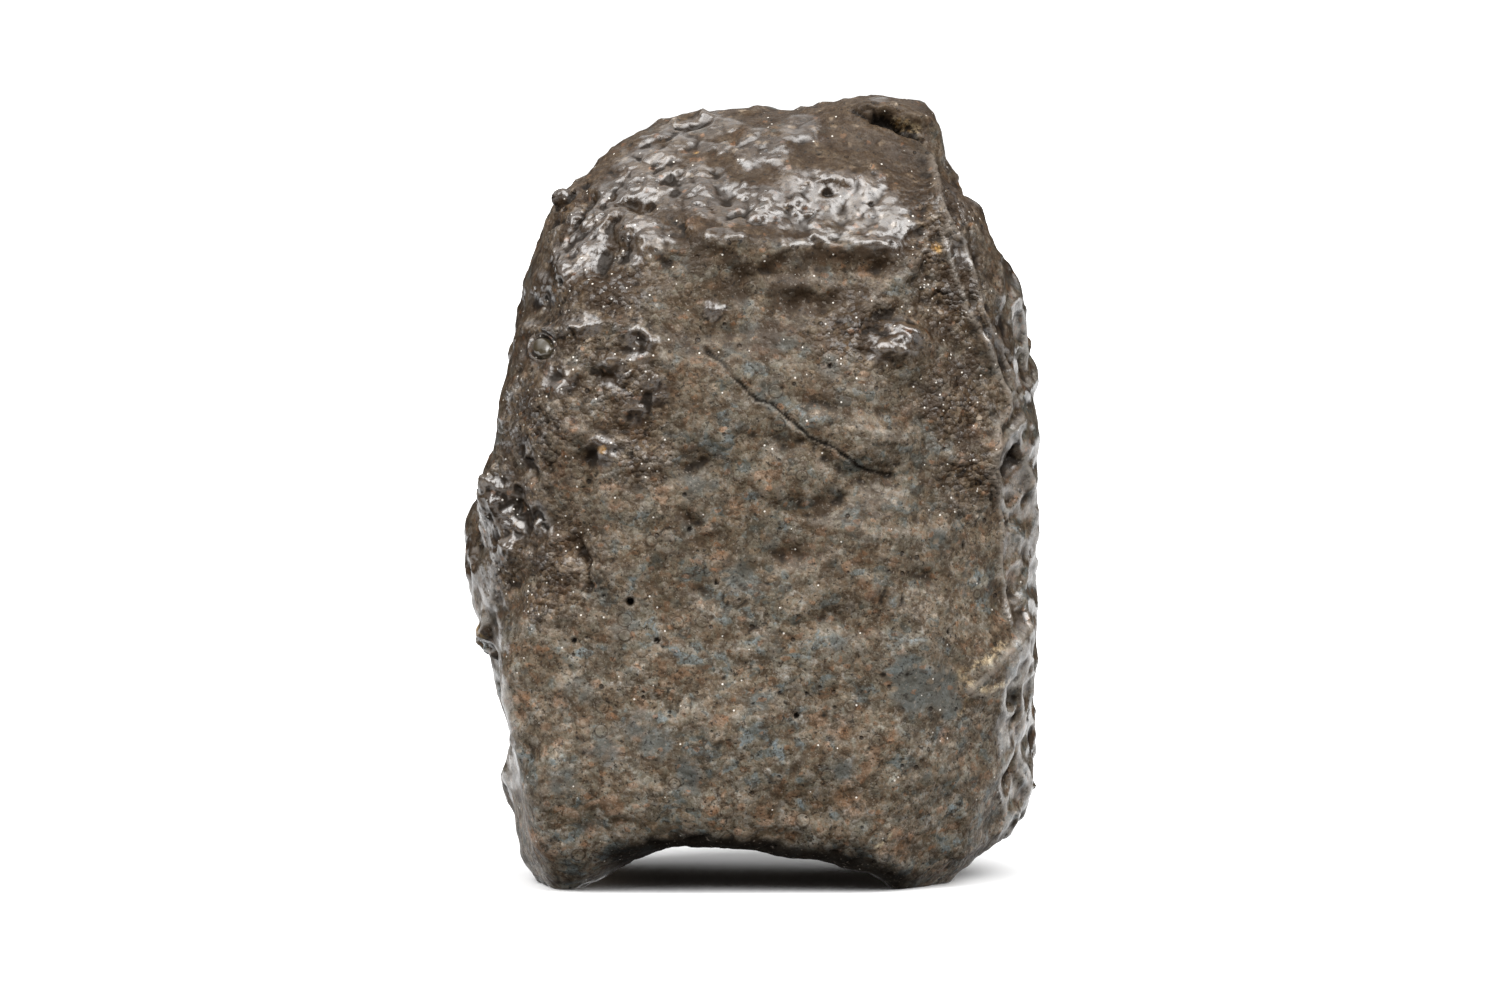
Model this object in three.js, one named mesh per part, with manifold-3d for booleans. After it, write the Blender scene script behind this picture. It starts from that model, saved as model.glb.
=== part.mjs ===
// A stony meteorite, an ordinary chondrite: one weathered stone that stands on two low feet.
//
// Units are millimetres. +X is right, +Y is back, +Z is up. The origin is on the ground, under the
// middle of the stone. The stone is carved from a pebble that has the measured front outline: broad
// facets cut it, an arch under it leaves two feet, and swells and hollows finish its skin.
import * as THREE from 'three';
import { ImprovedNoise } from 'three/addons/math/ImprovedNoise.js';
import { mergeVertices } from 'three/addons/utils/BufferGeometryUtils.js';
import Module from 'manifold-3d';

// ---- driving dimensions -------------------------------------------------------------------------

const HEIGHT = 28; // ground to the top of the knob
const CORE = new THREE.Vector3(0, 0, 13.5); // every ray that finds the skin starts here
const FRONT_DEPTH = 8.6; // from the widest section to the front of the uncut pebble
const BACK_DEPTH = 8.6; // and to its back
const BOXINESS = 3.4; // exponent of the pebble's section: 2 is an ellipse, more is squarer
const SECTION_SKEW = 0.1; // the widest section lies further back on the right
const EDGE_ROUNDING = 1.3; // how softly two facets meet
const MESH_DETAIL = 20; // 20 * (MESH_DETAIL + 1)^2 triangles
const MESH_STRETCH = new THREE.Vector3(10, 8.5, 13); // spreads the triangles evenly on a tall stone
const SKIN_SEARCH = { start: 2, step: 0.3, halvings: 22 };

// The outline seen from the front, counter-clockwise from the right foot. It runs under the ground at
// the feet, where the ground cuts it flat. Its small steps fade out in front of and behind the widest
// section, over OUTLINE_REACH; beyond that only the outline smoothed over OUTLINE_BLUR degrees is left.
const FRONT_OUTLINE = [
  [5.4, -1.2], [6.7, -0.5], [7.4, 0.5], [8.7, 1.2], [9.9, 1.8], [10.3, 2.7], [10.6, 4.3],
  [10.4, 5.8], [10.3, 7.5], [10.4, 9.8], [10.2, 12.0], [10.5, 15.2], [10.8, 17.3], [10.1, 18.6],
  [10.3, 20.3], [9.9, 21.3], [9.2, 22.0], [8.4, 23.3], [7.7, 24.9], [7.4, 25.9], [7.2, 27.0],
  [6.8, 27.7], [5.8, 28.1], [4.5, 28.2], [3.3, 28.0], [2.2, 27.8], [0.1, 28.0], [-1.2, 27.3],
  [-2.8, 26.7], [-4.6, 26.1], [-5.6, 25.5], [-6.2, 24.9], [-6.7, 24.6], [-6.9, 23.9],
  [-6.9, 23.2], [-7.2, 22.2], [-7.8, 21.1], [-7.9, 20.1], [-8.1, 18.8], [-8.3, 16.8],
  [-9.4, 14.6], [-10.2, 12.6], [-10.0, 10.3], [-9.7, 9.2], [-8.3, 7.9], [-7.7, 6.5],
  [-8.3, 4.8], [-8.5, 3.3], [-8.1, 1.8], [-7.3, 0.5], [-6.9, -0.5], [-6.2, -1.3], [0, -1.6],
];
const OUTLINE_REACH = 2.4;
const OUTLINE_BLUR = 36;

// Broad facets. Each is a plane through a point; azimuth turns its normal from the front (0) towards
// the right (90), and elevation tilts it up.
const FACETS = [
  { at: [0, -7.4, 6], azimuth: -3, elevation: -3 }, // lower front
  { at: [0, -7.3, 14], azimuth: 2, elevation: 5 }, // upper front
  { at: [1.5, -6.4, 22.7], azimuth: 2, elevation: 46 }, // top bevel, above the brow
  { at: [-5.4, -5.2, 22.4], azimuth: -36, elevation: 30 }, // upper left
  { at: [-8.2, -5.2, 14.5], azimuth: -42, elevation: 3 }, // left of the front
  { at: [-9.4, -3.4, 5.5], azimuth: -76, elevation: -4 }, // lower left
  { at: [6.6, -5.7, 20.5], azimuth: 38, elevation: 9 }, // upper right of the front
  { at: [8.6, -5.2, 10], azimuth: 44, elevation: -2 }, // right of the front
  { at: [10.8, -1.6, 14], azimuth: 74, elevation: 3 }, // right side
  { at: [0.5, 7.4, 11], azimuth: 174, elevation: 3 }, // back
  { at: [-1.5, 6.6, 23.2], azimuth: 166, elevation: 42 }, // back of the top
  { at: [-8.2, 5.2, 12], azimuth: 228, elevation: -4 }, // back left
  { at: [8.2, 5.8, 13], azimuth: 130, elevation: 8 }, // back right
  { at: [2, 6.2, 3], azimuth: 170, elevation: -34 }, // under the back
];

// The arch under the stone: how high it clears the ground along X at the front. It flares upwards
// towards the back, by ARCH_FLARE at the back face.
const ARCH_PROFILE = [
  [-8.6, -2.6], [-7.2, -0.6], [-5.9, 0.3], [-3.9, 1.0], [-2.9, 1.3], [-1.7, 1.65], [-0.5, 1.8],
  [0.6, 1.6], [1.7, 1.35], [2.9, 1.25], [3.7, 1.0], [4.4, 0.6], [5.3, -0.15], [6.8, -1.6],
];
const ARCH_FLARE = 1.0;
const ARCH_ROUNDING = 1.0;

// Swells (rise > 0) and hollows (rise < 0) of the skin. Each lies along a line from one point to
// another and fades out sideways over `wide` millimetres.
const SWELLS = [
  // the brow, where the front turns into the top bevel, and the hollows under it
  { from: [-2.0, -6.6, 22.9], to: [5.0, -6.4, 22.9], wide: 0.8, rise: 0.3 },
  { from: [-1.9, -6.9, 21.0], to: [4.2, -6.7, 20.8], wide: 1.5, rise: -0.5 },
  { from: [2.0, -6.6, 20.7], to: [2.8, -6.6, 20.7], wide: 0.8, rise: -0.35 },
  { from: [5.4, -6.3, 22.0], to: [4.0, -6.9, 20.1], wide: 0.5, rise: 0.35 },
  { from: [4.7, -6.8, 19.0], to: [5.7, -6.5, 19.4], wide: 0.7, rise: 0.45 },
  // the middle of the front
  { from: [-0.5, -7.2, 17.2], to: [3.6, -7.2, 16.5], wide: 2.0, rise: 0.25 },
  { from: [1.9, -7.2, 13.5], to: [2.8, -7.2, 13.4], wide: 0.8, rise: -0.4 },
  { from: [4.1, -7.2, 14.5], to: [4.9, -7.0, 14.4], wide: 0.6, rise: -0.4 },
  { from: [1.0, -7.3, 11.8], to: [1.9, -7.3, 12.1], wide: 0.8, rise: -0.25 },
  { from: [-2.5, -7.3, 8.5], to: [3.5, -7.3, 9.6], wide: 2.2, rise: 0.2 },
  { from: [-1.5, -7.4, 3.8], to: [2.5, -7.4, 4.2], wide: 2.4, rise: 0.2 },
  // the left of the front: gash, shoulder, grooves, and the flute down the lower left edge
  { from: [-6.2, -6.6, 12.6], to: [-5.8, -6.8, 10.9], wide: 0.55, rise: -0.5 },
  { from: [-9.3, -4.2, 14.3], to: [-9.1, -4.2, 13.6], wide: 0.8, rise: 0.35 },
  { from: [-9.3, -3.4, 8.6], to: [-8.9, -3.8, 4.4], wide: 0.9, rise: -0.45 },
  { from: [-8.0, -5.8, 8.0], to: [-7.6, -6.2, 3.4], wide: 0.9, rise: 0.25 },
  { from: [-6.6, -4.6, 23.0], to: [-6.0, -5.4, 21.0], wide: 1.1, rise: 0.35 },
  { from: [-4.6, -4.4, 24.6], to: [-3.4, -5.8, 22.6], wide: 0.8, rise: 0.3 },
  { from: [-5.7, -4.2, 24.3], to: [-4.9, -5.4, 22.0], wide: 0.6, rise: -0.4 },
  { from: [-8.3, -3.6, 20.2], to: [-6.3, -5.6, 19.9], wide: 0.7, rise: -0.35 },
  { from: [-7.0, -1.6, 24.5], to: [-6.8, -2.0, 24.1], wide: 0.6, rise: 0.3 },
  { from: [-7.2, -6.2, 1.4], to: [-6.4, -6.2, 0.8], wide: 1.3, rise: 0.25 },
  // the right of the front: a ledge low down, and ridges that net the side
  { from: [10.2, -2.6, 9.2], to: [8.3, -5.4, 7.4], wide: 0.55, rise: 0.5 },
  { from: [9.2, -4.2, 10.0], to: [9.4, -3.8, 13.4], wide: 0.9, rise: -0.4 },
  { from: [10.1, -1.4, 16.4], to: [8.6, -5.0, 15.2], wide: 0.5, rise: 0.45 },
  { from: [8.6, -4.8, 15.2], to: [9.2, -3.8, 12.0], wide: 0.5, rise: 0.3 },
  { from: [8.0, -4.8, 22.0], to: [9.3, -3.2, 17.4], wide: 0.5, rise: 0.3 },
  { from: [9.4, -1.6, 19.6], to: [9.9, -0.6, 17.8], wide: 0.7, rise: -0.35 },
  // the knob at the top and the step under it
  { from: [4.2, -2.2, 27.5], to: [5.9, -1.6, 27.2], wide: 1.3, rise: 0.45 },
  { from: [7.4, -2.0, 25.4], to: [7.3, 0.4, 25.2], wide: 0.7, rise: -0.2 },
  // the two feet, which run from the front to the back
  { from: [-6.0, -3.2, 0.8], to: [-5.8, 2.2, 0.8], wide: 2.0, rise: 0.66 },
  { from: [5.9, -3.6, 0.2], to: [6.2, 2.6, 0.2], wide: 1.3, rise: 0.15 },
  // thumbprints and ribs on the back and the sides
  { from: [-3, 6.8, 16], to: [2.5, 7.2, 17.5], wide: 2.2, rise: -0.7 },
  { from: [3.5, 6.6, 8.5], to: [5.2, 6.2, 10.5], wide: 1.7, rise: -0.6 },
  { from: [-5.5, 6.2, 7.0], to: [-4.0, 6.8, 8.8], wide: 1.5, rise: -0.55 },
  { from: [-2.0, 7.2, 12.0], to: [1.8, 7.3, 12.8], wide: 1.0, rise: 0.4 },
  { from: [-2.2, 5.6, 23.4], to: [1.4, 5.4, 23.2], wide: 1.3, rise: -0.4 },
  { from: [-8.9, 2.2, 17.0], to: [-9.4, 0.8, 14.6], wide: 1.4, rise: -0.5 },
  { from: [-9.2, 1.2, 7.0], to: [-8.6, 3.6, 5.4], wide: 1.2, rise: 0.4 },
  { from: [-9.6, 0.2, 10.6], to: [-8.8, 4.0, 11.4], wide: 0.9, rise: -0.35 },
  { from: [9.8, 2.4, 12.2], to: [9.6, 3.6, 8.6], wide: 1.5, rise: -0.5 },
  { from: [9.9, 0.4, 18.4], to: [9.0, 3.6, 19.6], wide: 0.8, rise: 0.4 },
  { from: [9.2, 1.0, 4.6], to: [8.4, 4.4, 5.6], wide: 1.0, rise: 0.35 },
];

// Unevenness of the skin: wavelength and height of each noise octave.
const UNEVENNESS = [
  { wavelength: 5.2, height: 0.45 },
  { wavelength: 2.6, height: 0.34 },
  { wavelength: 1.5, height: 0.16 },
];
const NOISE_TILT = new THREE.Euler(0.6, 0.9, 0.4); // turns the noise's own grid away from the axes

// The slot under the knob's lip: an ellipsoid cut out of the stone.
const SLOT = { at: [5.4, -3.0, 26.6], radii: [1.4, 1.6, 0.24], roll: 26, pitch: 20 };

// ---- the skin as a field: negative inside the stone, positive outside ---------------------------

const smoothMax = (a, b, rounding) => {
  const blend = Math.max(rounding - Math.abs(a - b), 0) / rounding;
  return Math.max(a, b) + (blend * blend * rounding) / 4;
};

const smoothStep = (low, high, value) => THREE.MathUtils.smoothstep(value, low, high);

// Radius of the front outline around the core, by angle, in equal steps.
const OUTLINE_STEPS = 720;
function outlineRadii() {
  const curve = new THREE.CatmullRomCurve3(
    FRONT_OUTLINE.map(([x, z]) => new THREE.Vector3(x, 0, z)), true);
  const polar = curve.getPoints(2 * OUTLINE_STEPS).map((p) => {
    const x = p.x - CORE.x;
    const z = p.z - CORE.z;
    return { angle: Math.atan2(z, x), radius: Math.hypot(x, z) };
  }).sort((a, b) => a.angle - b.angle);
  const radii = [];
  let next = 0;
  for (let i = 0; i < OUTLINE_STEPS; i++) {
    const angle = -Math.PI + (i / OUTLINE_STEPS) * 2 * Math.PI;
    while (next < polar.length - 1 && polar[next].angle < angle) next++;
    radii.push(polar[next].radius);
  }
  return radii;
}

// The same radii, each averaged with its neighbours.
function blurred(radii) {
  const reach = Math.round((OUTLINE_BLUR / 360) * OUTLINE_STEPS / 2);
  return radii.map((_, i) => {
    let total = 0;
    for (let k = -reach; k <= reach; k++) {
      total += radii[(i + k + OUTLINE_STEPS) % OUTLINE_STEPS];
    }
    return total / (2 * reach + 1);
  });
}
const OUTLINE_RADII = outlineRadii();
const BROAD_RADII = blurred(OUTLINE_RADII);

function radiusAt(radii, x, z) {
  const turn = (Math.atan2(z, x) + Math.PI) / (2 * Math.PI);
  const place = turn * OUTLINE_STEPS;
  const low = Math.floor(place) % OUTLINE_STEPS;
  const high = (low + 1) % OUTLINE_STEPS;
  return THREE.MathUtils.lerp(radii[low], radii[high], place - Math.floor(place));
}

// The uncut pebble: the front outline, rounded towards the front and the back.
function pebble(p) {
  const x = p.x - CORE.x;
  const z = p.z - CORE.z;
  const y = p.y - SECTION_SKEW * x;
  const detail = Math.exp(-((y / OUTLINE_REACH) ** 2));
  const radius = THREE.MathUtils.lerp(
    radiusAt(BROAD_RADII, x, z), radiusAt(OUTLINE_RADII, x, z), detail);
  const across = Math.hypot(x, z) / radius;
  const along = Math.abs(y) / (y < 0 ? FRONT_DEPTH : BACK_DEPTH);
  const size = (across ** BOXINESS + along ** BOXINESS) ** (1 / BOXINESS);
  return (size - 1) * Math.min(radius, FRONT_DEPTH);
}

const facetPlanes = FACETS.map(({ at, azimuth, elevation }) => {
  const turn = THREE.MathUtils.degToRad(azimuth);
  const tilt = THREE.MathUtils.degToRad(elevation);
  const normal = new THREE.Vector3(
    Math.sin(turn) * Math.cos(tilt), -Math.cos(turn) * Math.cos(tilt), Math.sin(tilt));
  return new THREE.Plane().setFromNormalAndCoplanarPoint(normal, new THREE.Vector3(...at));
});

const archCurve = new THREE.CatmullRomCurve3(
  ARCH_PROFILE.map(([x, z]) => new THREE.Vector3(x, 0, z))).getPoints(120);

function archHeight(x, y) {
  const after = archCurve.findIndex((p) => p.x > x);
  if (after <= 0) return -10;
  const a = archCurve[after - 1];
  const b = archCurve[after];
  const front = THREE.MathUtils.mapLinear(x, a.x, b.x, a.z, b.z);
  const flare = ARCH_FLARE * smoothStep(-4, BACK_DEPTH, y);
  return front + flare * smoothStep(-1, 1, front);
}

const swells = SWELLS.map(({ from, to, wide, rise }) => ({
  line: new THREE.Line3(new THREE.Vector3(...from), new THREE.Vector3(...to)), wide, rise,
}));

const nearest = new THREE.Vector3();
function swelling(p) {
  let total = 0;
  for (const { line, wide, rise } of swells) {
    const away = line.closestPointToPoint(p, true, nearest).distanceTo(p) / wide;
    if (away < 2.5) total += rise * Math.exp(-away * away);
  }
  return total;
}

const perlin = new ImprovedNoise();
const turned = new THREE.Vector3();
function unevenness(p) {
  turned.copy(p).applyEuler(NOISE_TILT);
  let total = 0;
  for (const { wavelength, height } of UNEVENNESS) {
    turned.addScalar(wavelength); // keeps the octaves apart
    total += height * perlin.noise(
      turned.x / wavelength, turned.y / wavelength, turned.z / wavelength);
  }
  return total;
}

function skin(p) {
  let field = pebble(p);
  for (const plane of facetPlanes) {
    field = smoothMax(field, plane.distanceToPoint(p), EDGE_ROUNDING);
  }
  field = smoothMax(field, archHeight(p.x, p.y) - p.z, ARCH_ROUNDING);
  return field - swelling(p) - unevenness(p);
}

// ---- from field to solid ------------------------------------------------------------------------

const wasm = await Module();
wasm.setup();

function toSolid(geometry) {
  const bare = geometry.clone();
  bare.deleteAttribute('normal');
  bare.deleteAttribute('uv');
  const merged = mergeVertices(bare, 1e-5);
  return new wasm.Manifold(new wasm.Mesh({
    numProp: 3,
    vertProperties: merged.attributes.position.array,
    triVerts: new Uint32Array(merged.index.array),
  }));
}

function toGeometry(solid) {
  const { vertProperties, triVerts } = solid.getMesh();
  const geometry = new THREE.BufferGeometry();
  geometry.setAttribute('position', new THREE.BufferAttribute(vertProperties, 3));
  geometry.setIndex(new THREE.BufferAttribute(triVerts, 1));
  return geometry;
}

function skinPoint(direction) {
  const ray = new THREE.Ray(CORE, direction);
  const probe = new THREE.Vector3();
  let outside = SKIN_SEARCH.start;
  while (skin(ray.at(outside, probe)) < 0) outside += SKIN_SEARCH.step;
  let inside = outside - SKIN_SEARCH.step;
  for (let i = 0; i < SKIN_SEARCH.halvings; i++) {
    const middle = (inside + outside) / 2;
    if (skin(ray.at(middle, probe)) < 0) inside = middle;
    else outside = middle;
  }
  return ray.at(outside, new THREE.Vector3());
}

function roughStone() {
  const geometry = new THREE.IcosahedronGeometry(1, MESH_DETAIL);
  geometry.deleteAttribute('normal');
  geometry.deleteAttribute('uv');
  const stone = mergeVertices(geometry, 1e-5);
  const positions = stone.attributes.position;
  const direction = new THREE.Vector3();
  for (let i = 0; i < positions.count; i++) {
    direction.fromBufferAttribute(positions, i).multiply(MESH_STRETCH).normalize();
    positions.setXYZ(i, ...skinPoint(direction));
  }
  return stone;
}

function ground() {
  const size = 4 * HEIGHT;
  return new THREE.BoxGeometry(size, size, size).translate(0, 0, -size / 2);
}

function slot() {
  const { at, radii, roll, pitch } = SLOT;
  return new THREE.SphereGeometry(1, 12, 8)
    .scale(...radii)
    .rotateX(THREE.MathUtils.degToRad(pitch))
    .rotateY(THREE.MathUtils.degToRad(roll))
    .translate(...at);
}

function meteorite() {
  const solid = toSolid(roughStone()).subtract(toSolid(ground())).subtract(toSolid(slot()));
  const geometry = toGeometry(solid);
  geometry.computeBoundingBox();
  const middle = geometry.boundingBox.getCenter(new THREE.Vector3());
  geometry.translate(-middle.x, -middle.y, 0);
  geometry.scale(...new Array(3).fill(HEIGHT / geometry.boundingBox.max.z));
  const crust = new THREE.MeshStandardMaterial({
    color: 0x6b5c50, roughness: 0.55, metalness: 0.05, flatShading: true,
  });
  const mesh = new THREE.Mesh(geometry, crust);
  mesh.name = 'meteorite';
  return mesh;
}

const part = new THREE.Group();
part.add(meteorite());

export default part;
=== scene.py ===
"""A chondrite meteorite on a pale floor, in soft studio light.

The stone is remeshed from its CAD solid and its relief is modelled on top: strokes that follow the
lumps, hollows, cracks and ridges of the real skin, scattered pits and chondrules, and seeded noise.
Lengths here are in millimetres, and are turned into metres at the end. Places on the front are
given as (column, row) of the 1500 x 1000 picture that the camera frames.
"""
import math

import bmesh
import bpy
import numpy as np
from mathutils import Matrix, Vector
from mathutils.bvhtree import BVHTree
from mathutils.kdtree import KDTree


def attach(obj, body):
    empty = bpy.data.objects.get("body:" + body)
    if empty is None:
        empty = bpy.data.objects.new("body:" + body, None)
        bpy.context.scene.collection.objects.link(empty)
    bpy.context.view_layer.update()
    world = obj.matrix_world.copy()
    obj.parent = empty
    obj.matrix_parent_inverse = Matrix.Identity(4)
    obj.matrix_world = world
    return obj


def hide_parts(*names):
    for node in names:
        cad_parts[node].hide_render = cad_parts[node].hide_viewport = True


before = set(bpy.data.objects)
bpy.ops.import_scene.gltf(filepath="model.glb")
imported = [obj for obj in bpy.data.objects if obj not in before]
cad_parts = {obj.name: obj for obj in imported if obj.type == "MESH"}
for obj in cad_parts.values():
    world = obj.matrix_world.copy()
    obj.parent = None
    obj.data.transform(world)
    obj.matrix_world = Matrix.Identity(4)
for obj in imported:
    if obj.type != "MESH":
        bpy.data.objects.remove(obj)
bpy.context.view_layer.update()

MM = 0.001
STONE = "meteorite"

# ---- camera --------------------------------------------------------------------------------------

PICTURE = (1500, 1000)
LENS_PIXELS = 7267.0  # distance to the picture plane, in pixels
SENSOR = 36.0
CLIP = (0.01, 10.0)  # in metres
CAMERA_DISTANCE = 260.0
CAMERA_ELEVATION = math.radians(3.0)
CAMERA_TARGET = np.array([-0.108, 0.0, 13.5])
PIXELS_PER_MM = LENS_PIXELS / CAMERA_DISTANCE

BACK = np.array([0.0, -math.cos(CAMERA_ELEVATION), math.sin(CAMERA_ELEVATION)])
RIGHT = np.array([1.0, 0.0, 0.0])
UP = np.cross(BACK, RIGHT)
EYE = CAMERA_TARGET + BACK * CAMERA_DISTANCE


def add_camera():
    data = bpy.data.cameras.new("camera")
    data.sensor_width = SENSOR
    data.lens = LENS_PIXELS / PICTURE[0] * SENSOR
    data.clip_start, data.clip_end = CLIP
    camera = bpy.data.objects.new("camera", data)
    bpy.context.scene.collection.objects.link(camera)
    camera.location = Vector(EYE * MM)
    camera.rotation_euler = Vector(-BACK).to_track_quat("-Z", "Y").to_euler()
    bpy.context.scene.camera = camera


def picture_place(co):
    """(column, row) at which the camera sees each point."""
    offset = co - EYE
    depth = offset @ -BACK
    return np.stack([PICTURE[0] / 2 + LENS_PIXELS * (offset @ RIGHT) / depth,
                     PICTURE[1] / 2 - LENS_PIXELS * (offset @ UP) / depth], 1)


# ---- noise ---------------------------------------------------------------------------------------

OCTAVE_SHIFT = 31.7  # keeps the octaves apart
LACUNARITY = 2.03  # how much finer each octave is than the one before
FAR = 9.0  # a distance that is never near


def hashed(ix, iy, iz, seed):
    """A scrambled whole number for each lattice place, the same on every run."""
    h = ix * 73856093 ^ iy * 19349663 ^ iz * 83492791 ^ (seed * 2654435761 & 0x7FFFFFFF)
    h = (h ^ (h >> 13)) * 1274126177 & 0x7FFFFFFF
    h = (h ^ (h >> 16)) * 668265263 & 0x7FFFFFFF
    return h ^ (h >> 15)


def unit(ix, iy, iz, seed):
    return (hashed(ix, iy, iz, seed) & 0xFFFF) / 65535.0


CORNERS = [(i, j, k) for i in (0, 1) for j in (0, 1) for k in (0, 1)]
NEIGHBOURS = [(i, j, k) for i in (-1, 0, 1) for j in (-1, 0, 1) for k in (-1, 0, 1)]
GRADIENTS = np.array([
    (1, 1, 0), (-1, 1, 0), (1, -1, 0), (-1, -1, 0), (1, 0, 1), (-1, 0, 1), (1, 0, -1), (-1, 0, -1),
    (0, 1, 1), (0, -1, 1), (0, 1, -1), (0, -1, -1), (1, 1, 0), (-1, 1, 0), (0, -1, 1), (0, -1, -1),
], float)


def gradient_noise(p, seed):
    """Smooth noise of about -1..1 with features one unit wide."""
    cell = np.floor(p).astype(np.int64)
    f = p - cell
    w = f * f * f * (f * (f * 6 - 15) + 10)
    total = np.zeros(len(p))
    for i, j, k in CORNERS:
        g = GRADIENTS[hashed(cell[:, 0] + i, cell[:, 1] + j, cell[:, 2] + k, seed) & 15]
        d = f - (i, j, k)
        share = (w[:, 0] if i else 1 - w[:, 0]) * (w[:, 1] if j else 1 - w[:, 1])
        share = share * (w[:, 2] if k else 1 - w[:, 2])
        total += share * np.einsum("ij,ij->i", g, d)
    return total


def layered(p, wavelength, octaves, seed):
    """Sum of octaves of noise; the first is `wavelength` wide, and each is half as high as the last."""
    total = np.zeros(len(p))
    height = 1.0
    q = p / wavelength
    for octave in range(octaves):
        total += height * gradient_noise(q + OCTAVE_SHIFT * octave, seed + octave)
        q = q * LACUNARITY
        height *= 0.5
    return total


def strayed(p, reach, wavelength, octaves, seed):
    """The points moved about by noise, which gives what is drawn over them ragged outlines."""
    return p + reach * np.stack([layered(p, wavelength, octaves, seed + a) for a in range(3)], 1)


def cells(p, wavelength, seed):
    """Distances to the nearest and second nearest of points strewn about one wavelength apart."""
    q = p / wavelength
    base = np.floor(q).astype(np.int64)
    near = np.full(len(p), FAR)
    second = np.full(len(p), FAR)
    for neighbour in NEIGHBOURS:
        c = base + neighbour
        x, y, z = c[:, 0], c[:, 1], c[:, 2]
        spot = c + np.stack([unit(x, y, z, seed + a) for a in range(3)], 1)
        away = np.linalg.norm(spot - q, axis=1)
        second = np.minimum(second, np.maximum(near, away))
        near = np.minimum(near, away)
    return near, second


def ramp(low, high, value):
    """0 below low, 1 above high, smooth between."""
    t = np.clip((value - low) / (high - low), 0, 1)
    return t * t * (3 - 2 * t)


# ---- the smooth stone ----------------------------------------------------------------------------

VOXEL = 0.29
SOLE = 0.4 * VOXEL  # what lies lower than this stays on the floor
CAD_ROUNDS = 10  # rounds of smoothing that take the facets of the solid away
FRONT_ROUNDS = 2  # and those after the front is refined


def read_rows(elements, name, width, kind=np.float32):
    """One row of numbers for each element of a mesh."""
    values = np.zeros(len(elements) * width, kind)
    elements.foreach_get(name, values)
    return values.reshape(-1, width)


def read_points(mesh):
    return read_rows(mesh.vertices, "co", 3).astype(float)


def read_normals(mesh):
    return read_rows(mesh.vertices, "normal", 3).astype(float)


def read_edges(mesh):
    return read_rows(mesh.edges, "vertices", 2, np.int32)


def write_points(mesh, co):
    mesh.vertices.foreach_set("co", co.astype(np.float32).ravel())
    mesh.update()


def smoothed(co, edges, rounds):
    """Each vertex moves halfway to the mean of its neighbours, `rounds` times."""
    n = len(co)
    first, last = edges[:, 0], edges[:, 1]
    count = np.bincount(edges.ravel(), minlength=n)[:, None]
    for _ in range(rounds):
        mean = np.stack([
            np.bincount(first, co[last, a], n) + np.bincount(last, co[first, a], n)
            for a in range(3)], 1) / count
        co = co + 0.5 * (mean - co)
    return co


def remeshed_stone():
    """The CAD solid as an even quad mesh, in millimetres, with its facets smoothed away."""
    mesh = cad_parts[STONE].data.copy()
    mesh.transform(Matrix.Scale(1 / MM, 4))
    mesh.materials.clear()
    stone = bpy.data.objects.new("stone", mesh)
    bpy.context.scene.collection.objects.link(stone)
    remesh = stone.modifiers.new("remesh", "REMESH")
    remesh.mode = "VOXEL"
    remesh.voxel_size = VOXEL
    remesh.adaptivity = 0
    graph = bpy.context.evaluated_depsgraph_get()
    even = bpy.data.meshes.new_from_object(stone.evaluated_get(graph))
    stone.modifiers.clear()
    stone.data = even
    co = read_points(even)
    moved = smoothed(co, read_edges(even), CAD_ROUNDS)
    moved[co[:, 2] < SOLE, 2] = 0.0
    write_points(even, moved)
    return stone


def refine(stone, choose):
    """Halves the edges whose two ends are both chosen, from their places and normals."""
    mesh = bmesh.new()
    mesh.from_mesh(stone.data)
    mesh.verts.ensure_lookup_table()
    chosen = choose(np.array([v.co for v in mesh.verts]), np.array([v.normal for v in mesh.verts]))
    edges = [e for e in mesh.edges if chosen[e.verts[0].index] and chosen[e.verts[1].index]]
    bmesh.ops.subdivide_edges(mesh, edges=edges, cuts=1, use_grid_fill=True)
    large = [f for f in mesh.faces if len(f.verts) > 4]
    bmesh.ops.triangulate(mesh, faces=large)
    mesh.to_mesh(stone.data)
    mesh.free()


def distance_to_line(co, points):
    """Distance of each vertex to a run of points, and how far along the run it lies (0 to 1)."""
    if len(points) == 1:
        return np.linalg.norm(co - points[0], axis=1), np.zeros(len(co))
    best = np.full(len(co), 1e9)
    along = np.zeros(len(co))
    parts = len(points) - 1
    for i, (a, b) in enumerate(zip(points, points[1:])):
        span = b - a
        t = np.clip((co - a) @ span / max(span @ span, 1e-9), 0, 1)
        away = np.linalg.norm(co - a - t[:, None] * span, axis=1)
        closer = away < best
        best[closer] = away[closer]
        along[closer] = (i + t[closer]) / parts
    return best, along


def pairs(path):
    return list(zip(path[::2], path[1::2]))


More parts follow.
